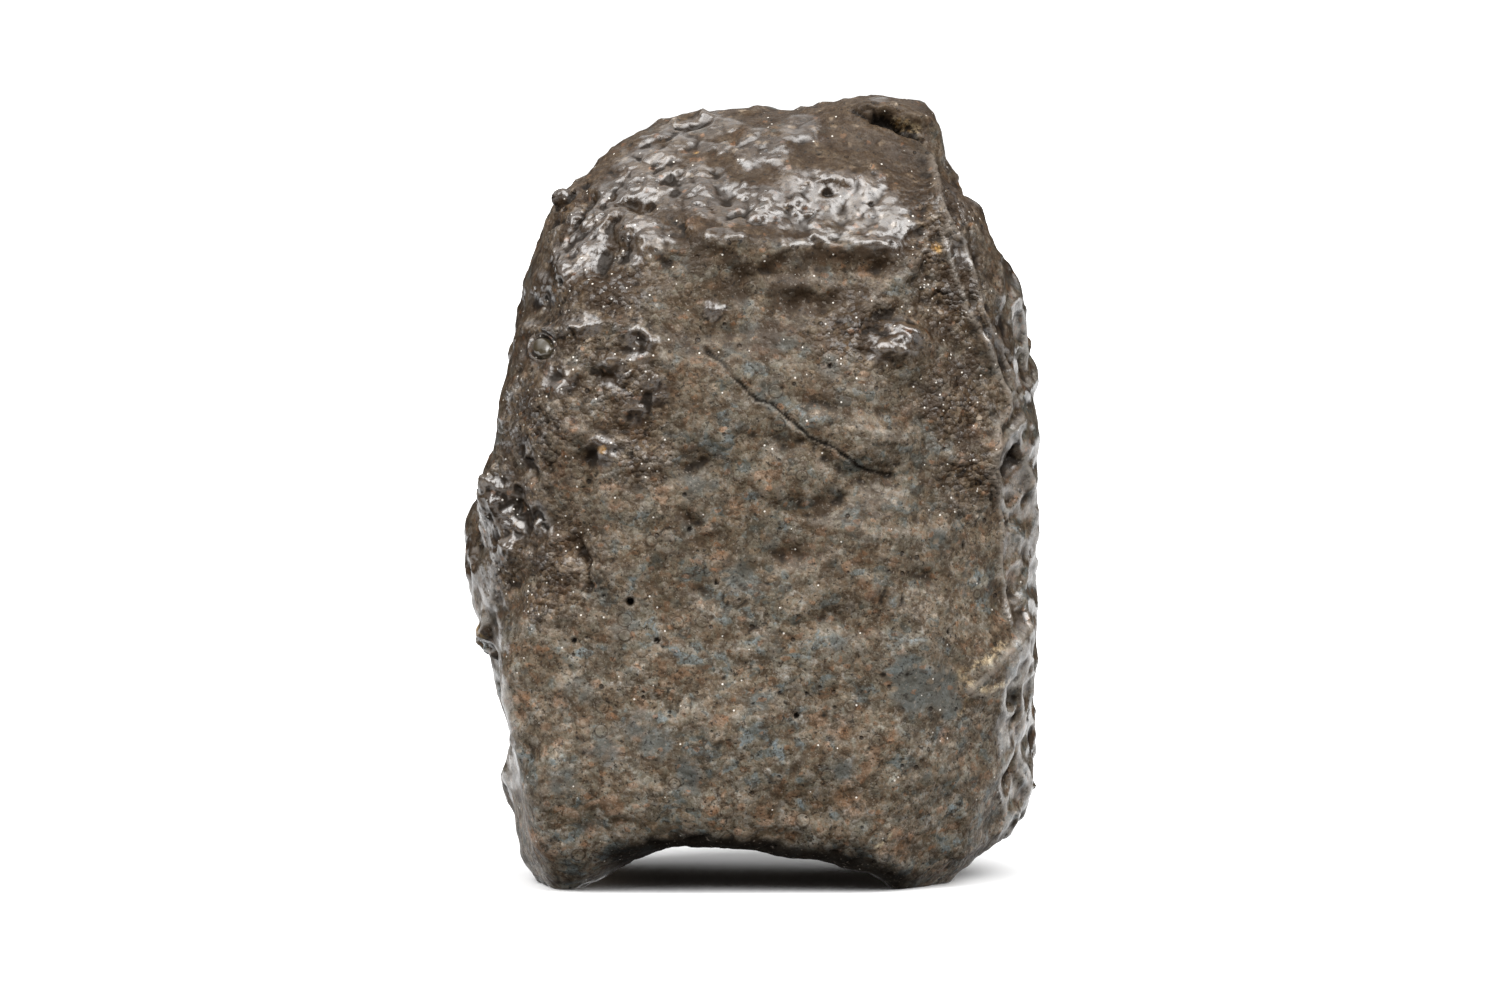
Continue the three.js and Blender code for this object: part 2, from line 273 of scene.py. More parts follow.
class Front:
    """Finds where picture places lie on the stone, and how far vertices are from them."""

    STEP = 8.0  # pixels between the points of a line

    def __init__(self, stone):
        mesh = stone.data
        self.tree = BVHTree.FromPolygons(
            [v.co for v in mesh.vertices], [p.vertices for p in mesh.polygons])

    def at(self, column, row):
        """The point of the skin that the camera sees there, or the nearest one to that ray."""
        aim = (-BACK + RIGHT * (column - PICTURE[0] / 2) / LENS_PIXELS
               + UP * (PICTURE[1] / 2 - row) / LENS_PIXELS)
        place = self.tree.ray_cast(Vector(EYE), Vector(aim))[0]
        if place is None:
            middle = EYE + aim * CAMERA_DISTANCE / -np.dot(aim, BACK)
            place = self.tree.find_nearest(Vector(middle))[0]
        return np.array(place)

    def line(self, path):
        """Points on the skin along a path of picture places."""
        path = pairs(path)
        points = []
        for (a, b), (c, d) in zip(path, path[1:]):
            parts = max(1, int(math.hypot(c - a, d - b) / self.STEP))
            points += [self.at(a + (c - a) * i / parts, b + (d - b) * i / parts)
                       for i in range(parts)]
        points.append(self.at(*path[-1]))
        return np.array(points)

    def from_place(self, co, place):
        return np.linalg.norm(co - self.at(*place), axis=1)

    def from_line(self, co, path):
        return distance_to_line(co, self.line(path))[0]

    def spots(self, co, zones):
        """How deep each vertex lies in the zones, 0 to 1."""
        share = np.zeros(len(co))
        for radius, *place in zones:
            share = np.maximum(share, np.exp(-(self.from_place(co, place) / radius) ** 2))
        return share


# ---- the relief of the front ---------------------------------------------------------------------

# Each row gives sizes and then picture places: column, row, column, row and so on.

# Half width, height, path of each rounded rise, or of a hollow if the height is negative.
STROKES = [
    # lumps of the top bevel
    (0.14, -0.20, 829, 192), (0.22, 0.12, 780, 145, 788, 150), (0.20, 0.10, 735, 125, 745, 130),
    (0.30, -0.12, 716, 175, 722, 200, 735, 215), (0.24, -0.10, 848, 205, 842, 222),
    (0.26, -0.08, 752, 222, 790, 226),
    # the groove left of the bevel, the hole beside it, and the glossy bands of the upper left
    (0.42, -0.16, 672, 172, 672, 205, 676, 236, 664, 262),
    (0.32, -0.34, 612, 196, 628, 200, 646, 204), (0.26, -0.13, 612, 222, 612, 250, 604, 276),
    (0.24, -0.12, 575, 222, 568, 244), (0.26, -0.22, 582, 186, 588, 200, 582, 216),
    (0.20, -0.16, 552, 222, 562, 220),
    # the lit rim of the brow
    (0.18, 0.15, 700, 236, 722, 240, 742, 240), (0.18, 0.15, 776, 248, 806, 246),
    (0.22, 0.18, 814, 240, 850, 247, 878, 246),
    # the hollows under the brow
    (0.46, -0.12, 770, 268, 800, 262, 815, 262), (0.32, 0.16, 838, 254), (0.26, 0.14, 866, 258),
    (0.24, -0.14, 852, 266, 880, 270),
    (0.26, 0.22, 917, 250, 912, 272, 893, 288, 868, 306, 856, 328),
    (0.42, -0.22, 798, 303, 826, 304), (0.30, 0.14, 772, 286, 800, 288, 830, 284),
    (0.30, -0.12, 740, 270, 744, 290), (0.46, -0.16, 880, 322, 868, 345),
    (0.40, 0.26, 884, 346, 900, 344, 913, 333), (0.50, -0.12, 690, 330, 735, 340),
    # upper left, under the glossy bands
    (0.22, 0.18, 527, 326, 555, 335, 584, 326, 612, 321, 641, 329, 655, 340, 665, 359),
    (0.30, -0.12, 540, 306, 575, 306, 615, 308), (0.30, -0.12, 600, 345, 630, 350),
    (0.30, -0.14, 650, 385, 645, 420),
    # the left of the front and its edge, and one swell of the upper right edge
    (0.40, 0.20, 508, 548), (0.34, -0.16, 508, 580, 530, 575), (0.40, 0.14, 515, 395),
    (0.30, -0.16, 512, 330), (0.26, 0.14, 503, 352, 500, 372), (0.26, -0.14, 498, 405),
    (0.30, -0.16, 484, 455, 488, 470), (0.36, -0.18, 474, 520, 478, 545),
    (0.34, 0.14, 470, 560, 474, 590), (0.34, 0.42, 486, 622, 488, 640, 491, 662),
    (0.26, -0.14, 500, 692, 504, 704), (0.30, -0.16, 500, 735, 504, 760),
    (0.30, 0.20, 508, 776, 508, 800), (0.40, 0.28, 958, 172, 966, 192), (0.24, -0.14, 520, 372),
    (0.34, -0.16, 596, 372, 625, 380),
    # the middle and the low front
    (0.34, -0.20, 752, 436, 785, 440, 815, 456, 845, 470), (0.34, -0.16, 680, 458, 700, 462),
    (0.34, -0.12, 640, 448, 665, 440), (0.34, -0.16, 690, 520, 700, 528),
    (0.40, 0.14, 845, 395, 880, 392), (0.34, -0.10, 800, 402, 830, 408),
    (0.40, 0.14, 860, 430, 900, 440), (0.44, 0.12, 740, 480, 775, 490),
    (0.44, 0.10, 850, 530, 890, 535), (0.34, -0.12, 905, 520, 930, 515),
    (0.40, 0.12, 700, 560, 725, 575), (0.40, -0.10, 660, 570, 668, 600),
    (0.34, -0.12, 905, 580, 930, 578), (0.40, 0.10, 840, 590, 870, 588),
    (0.30, -0.10, 700, 590, 720, 606), (0.44, 0.12, 620, 640, 640, 660),
    (0.34, -0.12, 560, 625, 575, 640), (0.40, 0.12, 520, 620, 535, 640),
    (0.34, -0.16, 497, 600, 492, 620), (0.44, 0.10, 560, 690, 590, 700),
    (0.40, -0.08, 640, 700, 670, 706), (0.44, 0.08, 700, 720, 730, 730),
    (0.36, -0.08, 780, 690, 800, 720), (0.40, -0.08, 850, 690, 870, 700),
    (0.44, 0.10, 930, 770, 960, 780), (0.44, 0.10, 600, 790, 620, 810),
    (0.40, -0.08, 660, 780, 690, 790), (0.44, 0.08, 760, 770, 800, 780),
    (0.34, -0.16, 590, 460, 586, 490), (0.40, 0.12, 610, 500, 640, 512),
    (0.34, -0.12, 555, 470, 560, 500), (0.34, -0.16, 520, 500, 530, 540),
    (0.45, -0.26, 862, 478, 895, 474), (0.42, -0.22, 806, 508, 835, 503),
    (0.50, -0.20, 780, 552, 812, 548), (0.24, -0.22, 580, 542, 586, 560),
    (0.12, -0.20, 588, 560, 590, 588), (0.30, 0.14, 556, 540, 572, 575),
    (0.60, 0.26, 492, 480, 498, 505), (0.30, 0.16, 596, 440, 610, 462),
    (0.45, 0.16, 560, 395, 575, 430), (0.40, -0.16, 520, 455, 530, 470),
    (0.40, 0.12, 700, 440, 735, 432, 765, 440), (0.40, -0.12, 640, 480, 680, 472),
    (0.45, -0.14, 760, 627, 840, 618, 900, 628), (0.40, 0.10, 735, 652, 790, 640, 850, 648),
    (0.30, -0.12, 880, 600, 902, 600),
    # the rim of the arch, and the groove and the swell above the left foot
    (0.40, -0.22, 655, 846, 700, 842), (0.50, -0.16, 735, 838, 800, 848, 860, 862),
    (0.45, -0.20, 520, 700, 527, 760), (0.60, 0.12, 540, 780, 548, 840),
    # the ridges down the right of the front, and the dents between them and the edge
    (0.28, 0.10, 932, 251), (0.28, -0.16, 975, 257), (0.34, -0.18, 993, 280),
    (0.50, -0.22, 1010, 310), (0.26, -0.16, 995, 335), (0.34, -0.18, 1016, 345),
    (0.24, -0.14, 1003, 358), (0.34, -0.20, 1026, 372), (0.24, -0.14, 1016, 395),
    (0.44, -0.30, 1018, 455, 1010, 462), (0.28, -0.18, 1003, 472), (0.36, -0.20, 1026, 500),
    (0.40, -0.18, 1008, 520), (0.44, -0.22, 1022, 555), (0.36, -0.18, 1010, 590),
    (0.45, -0.24, 1012, 690, 1020, 730, 1012, 775), (0.32, 0.18, 950, 852, 985, 838, 1010, 812),
    (0.34, -0.14, 918, 215), (0.40, -0.12, 940, 300), (0.36, 0.14, 930, 345),
    (0.34, -0.14, 958, 345), (0.44, 0.12, 950, 400), (0.34, 0.12, 905, 372),
    (0.40, -0.12, 915, 400, 925, 430),
    # the knob over the slot, and the glossy folds along the top edge
    (0.26, 0.14, 862, 108, 900, 108, 936, 126), (0.26, 0.10, 862, 128, 895, 146, 930, 160),
    (0.20, 0.10, 885, 107, 905, 113, 924, 123), (0.20, 0.18, 676, 122, 696, 116, 716, 120),
    (0.16, -0.20, 680, 128, 694, 126), (0.16, 0.12, 740, 112, 775, 108, 806, 112),
    (0.24, 0.10, 640, 142, 662, 134),
]

# Half width, height, path of sharp ridges down the right of the front, with crests painted light.
RIDGES = [
    (0.15, 0.30, 930, 165, 945, 220, 962, 242, 970, 267, 976, 290, 978, 312),
    (0.15, 0.30, 978, 312, 990, 330, 1000, 350, 1010, 375, 1015, 400),
    (0.14, 0.24, 942, 225, 945, 250, 955, 280, 970, 320, 985, 345),
    (0.17, 0.34, 985, 345, 995, 370, 1005, 390, 1005, 410, 995, 425, 990, 455, 995, 485),
    (0.16, 0.20, 928, 160, 938, 205, 950, 235), (0.18, 0.30, 1018, 420, 1004, 434, 992, 452),
    (0.18, 0.28, 986, 470, 1000, 520, 998, 575, 1008, 620),
    (0.20, 0.12, 1035, 622, 1012, 650, 970, 690), (0.12, 0.07, 1016, 676, 985, 697, 968, 690),
]

# Half width, path of glossy plates of skin that catch the light.
PLATES = [
    (0.30, 636, 176, 655, 160, 682, 142), (0.26, 646, 188, 670, 184),
    (0.36, 628, 222, 644, 230, 652, 246), (0.36, 598, 238, 588, 266), (0.30, 566, 216, 594, 218),
    (0.30, 556, 252, 566, 274), (0.24, 541, 276, 542, 296), (0.26, 702, 176, 698, 188),
    (0.34, 690, 202, 706, 216), (0.24, 712, 234, 740, 236), (0.18, 742, 186, 742, 197),
    (0.22, 718, 146, 738, 150), (0.18, 643, 141, 657, 136), (0.14, 616, 326, 640, 327),
    (0.12, 707, 311, 725, 311), (0.20, 795, 195, 798, 208, 808, 214),
    (0.18, 808, 186, 822, 177, 838, 181), (0.38, 868, 182, 890, 196, 893, 215, 886, 234),
    (0.28, 816, 232, 848, 240, 876, 242), (0.24, 780, 243, 806, 241), (0.14, 765, 200, 767, 217),
    (0.24, 904, 328, 917, 340), (0.18, 874, 350, 900, 350), (0.20, 524, 455, 531, 461),
    (0.26, 490, 480), (0.14, 528, 523, 548, 525), (0.16, 505, 547, 515, 550),
    (0.20, 632, 409, 640, 412), (0.18, 610, 371, 626, 374), (0.12, 655, 385, 660, 392),
    (0.12, 574, 328, 586, 326), (0.16, 484, 512, 492, 515),
]

# Reach, drop, path of the edge of the brow. The skin drops back on the left hand of the path.
LEDGE = (1.4, 0.16, 897, 240, 887, 246, 851, 254, 818, 246, 784, 254, 753, 262, 736, 250, 707, 236,
         693, 230)

# Half width, depth, path of narrow cuts with steep sides.
CUTS = [
    (0.10, 0.60, 868, 118, 880, 121, 895, 129, 912, 136, 923, 141),
    (0.23, 0.60, 868, 114, 884, 119, 904, 130), (0.15, 0.26, 895, 122, 908, 127, 920, 133),
    (0.09, 0.09, 703, 347, 715, 357, 727, 368),
    (0.06, 0.10, 729, 371, 740, 383, 757, 399, 771, 404, 783, 414, 806, 434, 830, 447, 853, 461,
     872, 474),
    (0.10, 0.08, 853, 464, 870, 472, 896, 476), (0.06, 0.12, 852, 112, 862, 116, 870, 117),
]

# Radius, depth, place of pores.
PORES = [
    (0.15, 0.34, 630, 602), (0.11, 0.16, 657, 641), (0.11, 0.16, 573, 641), (0.06, 0.12, 602, 596),
    (0.10, 0.16, 690, 530), (0.11, 0.20, 797, 716), (0.08, 0.14, 716, 583), (0.10, 0.14, 830, 366),
    (0.06, 0.10, 660, 139), (0.06, 0.10, 818, 153), (0.10, 0.16, 533, 371), (0.09, 0.14, 948, 632),
    (0.07, 0.12, 963, 545),
]

# Radius, height, place of chondrules that stand out. The first is on the upper left edge.
BEADS = [
    (0.38, 0.34, 563, 199), (0.32, 0.08, 893, 598), (0.36, 0.08, 735, 595), (0.20, 0.07, 684, 708),
    (0.26, 0.07, 668, 537), (0.22, 0.06, 755, 635),
]

# A large one in a ring, which is round as the camera sees it.
RINGED = (0.34, 0.17, 543, 348)

# Radius, place of zones of the front: rough, glossy, dark (partly painted shade) or coloured skin.
ROUGH_ZONES = [
    (2.6, 590, 240), (2.2, 560, 320), (1.6, 612, 290), (1.0, 618, 200), (0.7, 612, 245),
    (2.0, 530, 420), (2.2, 505, 510), (1.6, 560, 560), (1.6, 620, 380), (1.6, 945, 210),
    (1.8, 955, 300), (1.8, 960, 400), (1.6, 860, 330), (1.2, 640, 450), (1.4, 970, 480),
    (1.2, 500, 570), (1.4, 930, 250), (1.0, 540, 600),
]
GLOSS_ZONES = [
    (1.6, 700, 190), (1.5, 745, 205), (1.8, 800, 205), (1.6, 860, 205), (1.2, 885, 225),
    (1.7, 650, 165), (1.6, 620, 200), (1.6, 590, 235), (1.4, 560, 265), (1.3, 640, 235),
    (1.0, 545, 290), (0.8, 905, 338), (0.6, 880, 350), (1.3, 500, 500), (1.0, 530, 525),
    (1.0, 500, 545), (0.4, 712, 310), (0.5, 880, 100), (1.4, 700, 130), (1.2, 760, 150),
    (1.0, 800, 130), (0.6, 527, 457), (0.5, 636, 411), (0.6, 612, 371), (0.6, 585, 326),
    (0.7, 640, 345), (0.5, 565, 196), (0.8, 543, 345), (0.6, 655, 390), (0.8, 1010, 460),
    (1.0, 1000, 340), (0.7, 600, 450), (0.7, 560, 380), (0.8, 960, 250), (0.9, 510, 310),
    (0.7, 500, 370), (0.8, 480, 470), (0.9, 472, 560), (0.6, 480, 640), (0.8, 500, 720),
    (0.6, 510, 790),
]
# Partly painted shade in hollows under the brow and along the arch, partly darker brown skin.
DARK_ZONES = [
    (0.25, 927, 138), (0.30, 660, 846), (0.30, 690, 843), (0.35, 770, 850), (0.35, 820, 857),
    (0.55, 618, 198), (0.55, 640, 204), (0.4, 604, 196), (0.6, 600, 300), (0.5, 570, 300),
    (0.35, 672, 210), (0.30, 700, 232), (0.5, 800, 262), (0.4, 770, 266), (0.4, 880, 262),
    (0.6, 812, 303), (0.5, 868, 345), (0.8, 945, 200), (0.9, 955, 280), (0.9, 962, 360),
    (0.8, 940, 330), (0.8, 930, 400), (0.7, 965, 440), (0.35, 585, 560), (0.4, 575, 540),
    (0.5, 540, 560), (0.5, 520, 440), (0.5, 610, 380), (0.45, 820, 508), (0.3, 690, 520),
    (0.35, 880, 478), (0.4, 620, 275), (0.35, 560, 205), (0.4, 795, 552), (0.9, 735, 290),
    (1.0, 790, 290), (1.0, 850, 300), (0.7, 700, 262), (0.7, 770, 330), (0.9, 610, 290),
    (0.5, 612, 240), (0.6, 570, 320), (0.6, 530, 400), (0.5, 505, 450),
]
MAIN_SLATE_ZONES = [
    (0.95, 915, 690), (0.9, 940, 690), (0.7, 905, 672), (0.6, 950, 705),
]
SLATE_ZONES = [
    (0.8, 640, 725), (0.8, 740, 570), (0.9, 700, 485), (0.7, 625, 625), (0.4, 690, 530),
    (0.7, 785, 340), (0.6, 830, 366), (0.6, 940, 540), (0.8, 770, 395), (0.8, 655, 745),
    (0.5, 840, 640), (0.6, 760, 700), (1.0, 600, 745), (0.9, 690, 775), (0.8, 560, 780),
    (0.7, 580, 690), (0.6, 840, 770),
]
RUST_ZONES = [
    (0.40, 838, 252), (0.35, 862, 270), (0.18, 695, 150), (0.24, 935, 250), (0.18, 692, 510),
    (0.45, 840, 730), (0.40, 945, 735), (0.20, 893, 733), (0.20, 826, 745), (0.30, 975, 430),
    (0.12, 599, 565), (0.70, 535, 845), (0.20, 620, 320), (0.30, 735, 505), (0.30, 615, 505),
    (0.20, 700, 160), (0.30, 690, 220), (0.30, 590, 830), (0.9, 900, 845), (0.7, 850, 800),
    (0.4, 560, 700),
]
AMBER_ZONES = [
    (0.32, 488, 630), (0.30, 490, 644), (0.20, 602, 450), (0.22, 936, 248), (0.12, 899, 120),
    (0.13, 906, 123), (0.13, 913, 127), (0.12, 695, 152),
]

# Half width, path of lines of pale clay.
CLAY_LINES = [
    (0.14, 960, 672, 978, 664, 992, 655, 1003, 643),
    (0.11, 960, 676, 972, 684, 986, 690, 1008, 682), (0.06, 967, 690, 966, 706, 958, 717),
    (0.11, 894, 119, 906, 123, 920, 130), (0.06, 875, 848, 886, 842, 892, 832),
]

# How what is drawn strays from its places: (reach, wavelength, octaves, seed).
STROKE_STRAY = (0.22, 0.9, 2, 81)
RIDGE_STRAY = (0.10, 0.8, 2, 76)
PLATE_STRAY = (0.38, 0.6, 3, 91)
LEDGE_STRAY = (0.35, 1.1, 3, 94)
CUT_STRAY = (0.09, 0.5, 3, 85)
DRAPE_STRAY = (0.40, 1.1, 2, 97)
NET_STRAY = (0.35, 1.6, 2, 31)

# Unevenness along strokes and cuts: (wavelength, octaves, seed).
STROKE_TOPS = (0.7, 2, 84)
CUT_DEPTHS = (0.6, 2, 88)

STROKE_SPREAD = 1.15  # width of a stroke's swell, as a share of its half width
CREST_SPREAD = 0.55  # and of a ridge's crest
LEDGE_SLOPE = 0.60  # over which the skin falls away under the ledge
# the painted shade under the ledge
SHADE_SLOPE = 0.15  # over which the dark under it sets in
SHADE_REACH = 0.6  # share of the ledge's reach that is dark
CUT_END = 0.12  # share of a cut's length over which it runs out
DEEP_CUT = 0.3  # deeper ones have an even floor
# cuts and pits are painted dark as shade:
DARK_CUT = 0.12  # depth from which a cut is fully dark
DARK_PIT = 0.16  # and a pit


def stroke_relief(co, front):
    """Height of the strokes, with ragged outlines and uneven tops, and how uneven those are."""
    height = np.zeros(len(co))
    ragged = strayed(co, *STROKE_STRAY)
    uneven = 1 + 0.7 * layered(co, *STROKE_TOPS)
    for wide, rise, *path in STROKES:
        away = front.from_line(ragged, path)
        height += rise * uneven * np.exp(-(away / (STROKE_SPREAD * wide)) ** 2)
    return height, uneven


def ridge_relief(co, front, uneven, height):
    """Adds the sharp ridges to the height, and says how much of each vertex lies on a crest."""
    crest = np.zeros(len(co))
    ragged = strayed(co, *RIDGE_STRAY)
    for wide, rise, *path in RIDGES:
        away = front.from_line(ragged, path)
        height += rise * np.exp(-away / wide)
        crest = np.maximum(crest, uneven * np.exp(-(away / (CREST_SPREAD * wide)) ** 2))
    return height, crest


def plate_share(co, front):
    """How much of each vertex lies on a glossy plate."""
    share = np.zeros(len(co))
    ragged = strayed(co, *PLATE_STRAY)
    for wide, *path in PLATES:
        share = np.maximum(share, 1 - ramp(0.5, 1.5, front.from_line(ragged, path) / wide))
    return share


def left_hand(seen, path):
    """Which of the seen (column, row) places lie on the left hand of a path."""
    path = pairs(path)
    side = np.zeros(len(seen))
    closest = np.full(len(seen), 1e9)
    for a, b in zip(path, path[1:]):
        span = np.subtract(b, a)
        t = np.clip((seen - a) @ span / (span @ span), 0, 1)
        offset = seen - a - t[:, None] * span
        near = np.linalg.norm(offset, axis=1)
        turn = span[0] * offset[:, 1] - span[1] * offset[:, 0]
        side = np.where(near < closest, np.sign(turn), side)
        closest = np.minimum(closest, near)
    return side < 0


def ledge_relief(co, front):
    """The hollow under the ledge, and how near each vertex lies under its edge, as painted shade."""
    reach, drop, *path = LEDGE
    ragged = strayed(co, *LEDGE_STRAY)
    away = front.from_line(ragged, path)
    under = left_hand(picture_place(ragged), path)
    height = -drop * (under * ramp(0, LEDGE_SLOPE, away)) * np.exp(-(away / reach) ** 2)
    shade = under * ramp(0, SHADE_SLOPE, away) * np.exp(-(away / (SHADE_REACH * reach)) ** 2)
    return height, shade


def cut_relief(co, front):
    """Depth of the narrow cuts, and how much of each vertex lies in one."""
    height = np.zeros(len(co))
    inside = np.zeros(len(co))
    ragged_co = strayed(co, *CUT_STRAY)
    uneven = np.clip(1 + 0.9 * layered(co, *CUT_DEPTHS), 0.4, 1.6)
    for wide, depth, *path in CUTS:
        away, along = distance_to_line(ragged_co, front.line(path))
        taper = ramp(0, CUT_END, along) * ramp(0, CUT_END, 1 - along) * 0.8 + 0.2
        ragged = 1 + (0.2 if depth > DEEP_CUT else 1.0) * (uneven - 1)
        wide = wide * (0.5 + 0.5 * ragged)
        share = (1 - ramp(0.65, 1.35, away / wide)) * taper
        height -= depth * ragged * share
        # the share of painted shade in the cut
        inside = np.maximum(inside, share * min(1.0, depth / DARK_CUT))
    return height, inside


def pit_relief(co, tree, pits):
    """Depth of round pits (centre, radius, depth), and how much of each vertex lies in one."""
    height = np.zeros(len(co))
    inside = np.zeros(len(co))
    for centre, radius, depth in pits:
        for _, i, away in tree.find_range(Vector(centre), radius * 2.2):
            share = 1 - float(ramp(0.35 * radius, 1.25 * radius, away))
            rim = math.exp(-((away / radius - 1.5) / 0.35) ** 2)
            height[i] += 0.12 * depth * rim - depth * share
            # the share of painted shade in the pit
            inside[i] = max(inside[i], share * min(1.0, depth / DARK_PIT))
    return height, inside


def bead_relief(co, tree, beads):
    """Round grains (centre, radius, height): a domed bead inside a narrow moat."""
    height = np.zeros(len(co))
    for centre, radius, rise in beads:
        for _, i, away in tree.find_range(Vector(centre), radius * 1.8):
            dome = math.exp(-(away / radius) ** 4)
            moat = math.exp(-((away / radius - 1.15) / 0.2) ** 2)
            height[i] += rise * (dome - 0.6 * moat)
    return height


def ringed_relief(co, towards):
    """Height of the ringed chondrule, and the shares of it all, of its dome and of its ring."""
    radius, rise, *place = RINGED
    away = np.linalg.norm(picture_place(co) - place, axis=1) / PIXELS_PER_MM / radius
    away[towards < -0.35] = FAR
    dome = np.sqrt(np.clip(1 - away ** 2, 0, 1))
    ring = np.exp(-((away - 1.45) / 0.16) ** 2)
    moat = np.exp(-((away - 1.10) / 0.12) ** 2)
    height = rise * (dome + 0.55 * ring - 0.4 * moat)
    return height, 1 - ramp(1.60, 1.80, away), 1 - ramp(0.95, 1.10, away), ring


def strewn(co, count, seed, keep):
    """Random vertices, more likely where `keep` is high."""
    rng = np.random.default_rng(seed)
    return rng.choice(len(co), size=count, replace=False, p=keep / keep.sum())


# ---- the whole skin ------------------------------------------------------------------------------

# Noises of the skin: (wavelength, octaves, seed).
LEFT_PATCHES = (1.6, 2, 74)
GLOSS_PATCHES = (0.9, 3, 73)
BROAD = (2.4, 3, 11)
FLOWED = (0.95, 3, 21)
LUMP_STRAY = (0.8, 2, 27)
DRAPE_RIPPLE = (0.9, 2, 30)
GRAIN_STRAY = (0.5, 1, 41)
FINE_GRAIN = (0.34, 2, 51)
CLAY_EDGES = (0.3, 2, 61)
ZONE_EDGES = (0.5, 3, 62)

# Cells of the skin: (wavelength, seed).
LUMPS = (0.8, 28)
DRAPES = (1.15, 29)
FACETS = (0.52, 25)
NET = (1.35, 35)
GRAINS = (0.42, 42)
HIDDEN_PLATES = (1.5, 47)

# Patches on the sides that the picture doesn't show: (share, noise from, noise to, wavelength,
# octaves, seed).
HIDDEN_ROUGH = (0.8, -0.1, 0.4, 6.0, 2, 71)
HIDDEN_GLOSS = (0.8, 0.05, 0.5, 4.0, 3, 72)
HIDDEN_NET = (0.45, -0.3, 0.3, 7.0, 1, 36)
HIDDEN_PLATE_AREAS = (1.0, 0.05, 0.25, 3.2, 2, 48)
HIDDEN_SLATE = (0.9, 0.30, 0.55, 2.2, 3, 63)
HIDDEN_RUST = (0.8, 0.42, 0.62, 1.4, 3, 64)

FLOW_TILT = math.radians(14)
FLOW_STRETCH = (0.62, 0.62, 1.15)
PIT_COUNT = 70
BEAD_COUNT = 40
ARCH_MIDDLE = 0.3


def refine_front(stone, front):
    """Halves the edges of what the picture shows, and again where the skin has fine forms."""

    def near_view(co, normals):
        return (normals @ BACK > -0.12) & (co[:, 1] < 4.5)

    def glossy(co, _):
        return (front.spots(co, GLOSS_ZONES) > 0.5) & (co[:, 0] < 5.5)

    def near_features(co, _):
        close = np.zeros(len(co), bool)
        for wide, _, *path in CUTS:
            close |= front.from_line(co, path) < wide + 0.30
        for radius, _, *place in (*PORES, RINGED, BEADS[0]):
            close |= front.from_place(co, place) < radius * 2.2
        return close

    refine(stone, near_view)
    mesh = stone.data
    write_points(mesh, smoothed(read_points(mesh), read_edges(mesh), FRONT_ROUNDS))
    refine(stone, glossy)
    refine(stone, near_features)


class Skin:
    """Height of the relief at each vertex of the refined mesh, and what the skin is like there."""

    def __init__(self, mesh, front):
        self.mesh = mesh
        self.front = front
        self.co = co = read_points(mesh)
        self.normals = read_normals(mesh)
        self.towards = self.normals @ BACK
        self.facing = ramp(-0.05, 0.35, self.towards)
        self.hidden = 1 - self.facing
        self.right = ramp(8.2, 9.4, co[:, 0]) * (1 - ramp(0.55, 0.85, self.towards))
        self.left = ramp(7.0, 8.0, -co[:, 0]) * (1 - ramp(0.45, 0.75, self.towards))
        patchy = 0.35 + 0.65 * ramp(-0.25, 0.25, layered(co, *LEFT_PATCHES))
        self.left *= ramp(2.6, 4.4, co[:, 2]) * patchy
        self.crinkled = 0.3 + 0.7 * (1 - ramp(-3.2, -1.6, co[:, 0]))
        rough = np.maximum(front.spots(co, ROUGH_ZONES), self.hidden_patches(*HIDDEN_ROUGH))
        gloss = np.maximum(front.spots(co, GLOSS_ZONES), self.hidden_patches(*HIDDEN_GLOSS))
        self.gloss = gloss * (0.6 + 0.4 * ramp(-0.2, 0.4, layered(co, *GLOSS_PATCHES)))
        self.rough = rough * (1 - 0.75 * ramp(0.2, 0.7, self.gloss)) * (1 - self.right)

    def hidden_patches(self, share, low, high, *noise):
        return share * self.hidden * ramp(low, high, layered(self.co, *noise))


def draw_features(skin):
    """The ledge, strokes, ridges and plates that the picture shows."""
    dropped, skin.sheltered = ledge_relief(skin.co, skin.front)
    height, uneven = stroke_relief(skin.co, skin.front)
    skin.height, skin.crest = ridge_relief(skin.co, skin.front, uneven, height)
    skin.height += dropped
    skin.plate = plate_share(skin.co, skin.front)
    skin.height += 0.07 * skin.plate


def add_flow(skin):
    """Broad unevenness, then bumps drawn out sideways, as the crust has flowed and worn."""
    co = skin.co
    skin.height += 0.10 * layered(co, *BROAD)
    drawn = co @ Matrix.Rotation(FLOW_TILT, 3, "Y") * FLOW_STRETCH
    skin.height += (0.05 + 0.05 * skin.rough) * layered(drawn, *FLOWED)
    lumps, _ = cells(drawn + 0.25 * layered(co, *LUMP_STRAY)[:, None], *LUMPS)
    skin.height += (0.05 + 0.10 * skin.rough) * (0.35 - lumps ** 2)


def add_drapes(skin):
    """The glossy skin runs in smooth drapes, wider than high, with smaller facets on them."""
    bent = strayed(skin.co, *DRAPE_STRAY)
    drapes, _ = cells(bent * (1, 1, 0.75), *DRAPES)
    facets, _ = cells(bent * (1, 1, 0.8) + 7.7, *FACETS)
    folds = 0.40 * (0.35 - drapes ** 2) + 0.14 * skin.crinkled * (0.35 - facets ** 2)
    skin.height += skin.gloss * folds
    skin.height += skin.gloss * 0.03 * layered(skin.co, *DRAPE_RIPPLE)


def add_net(skin):
    """Hollows with sharp ridges between them on the right side, fainter on the back."""
    warped = strayed(skin.co, *NET_STRAY)
    near, second = cells(warped * (1, 0.6, 0.85), *NET)
    ridge = np.exp(-((second - near) / 0.22) ** 2)
    net = np.maximum(skin.right, skin.hidden_patches(*HIDDEN_NET))
    skin.height += net * (0.17 * ridge - 0.24 * (1 - near))


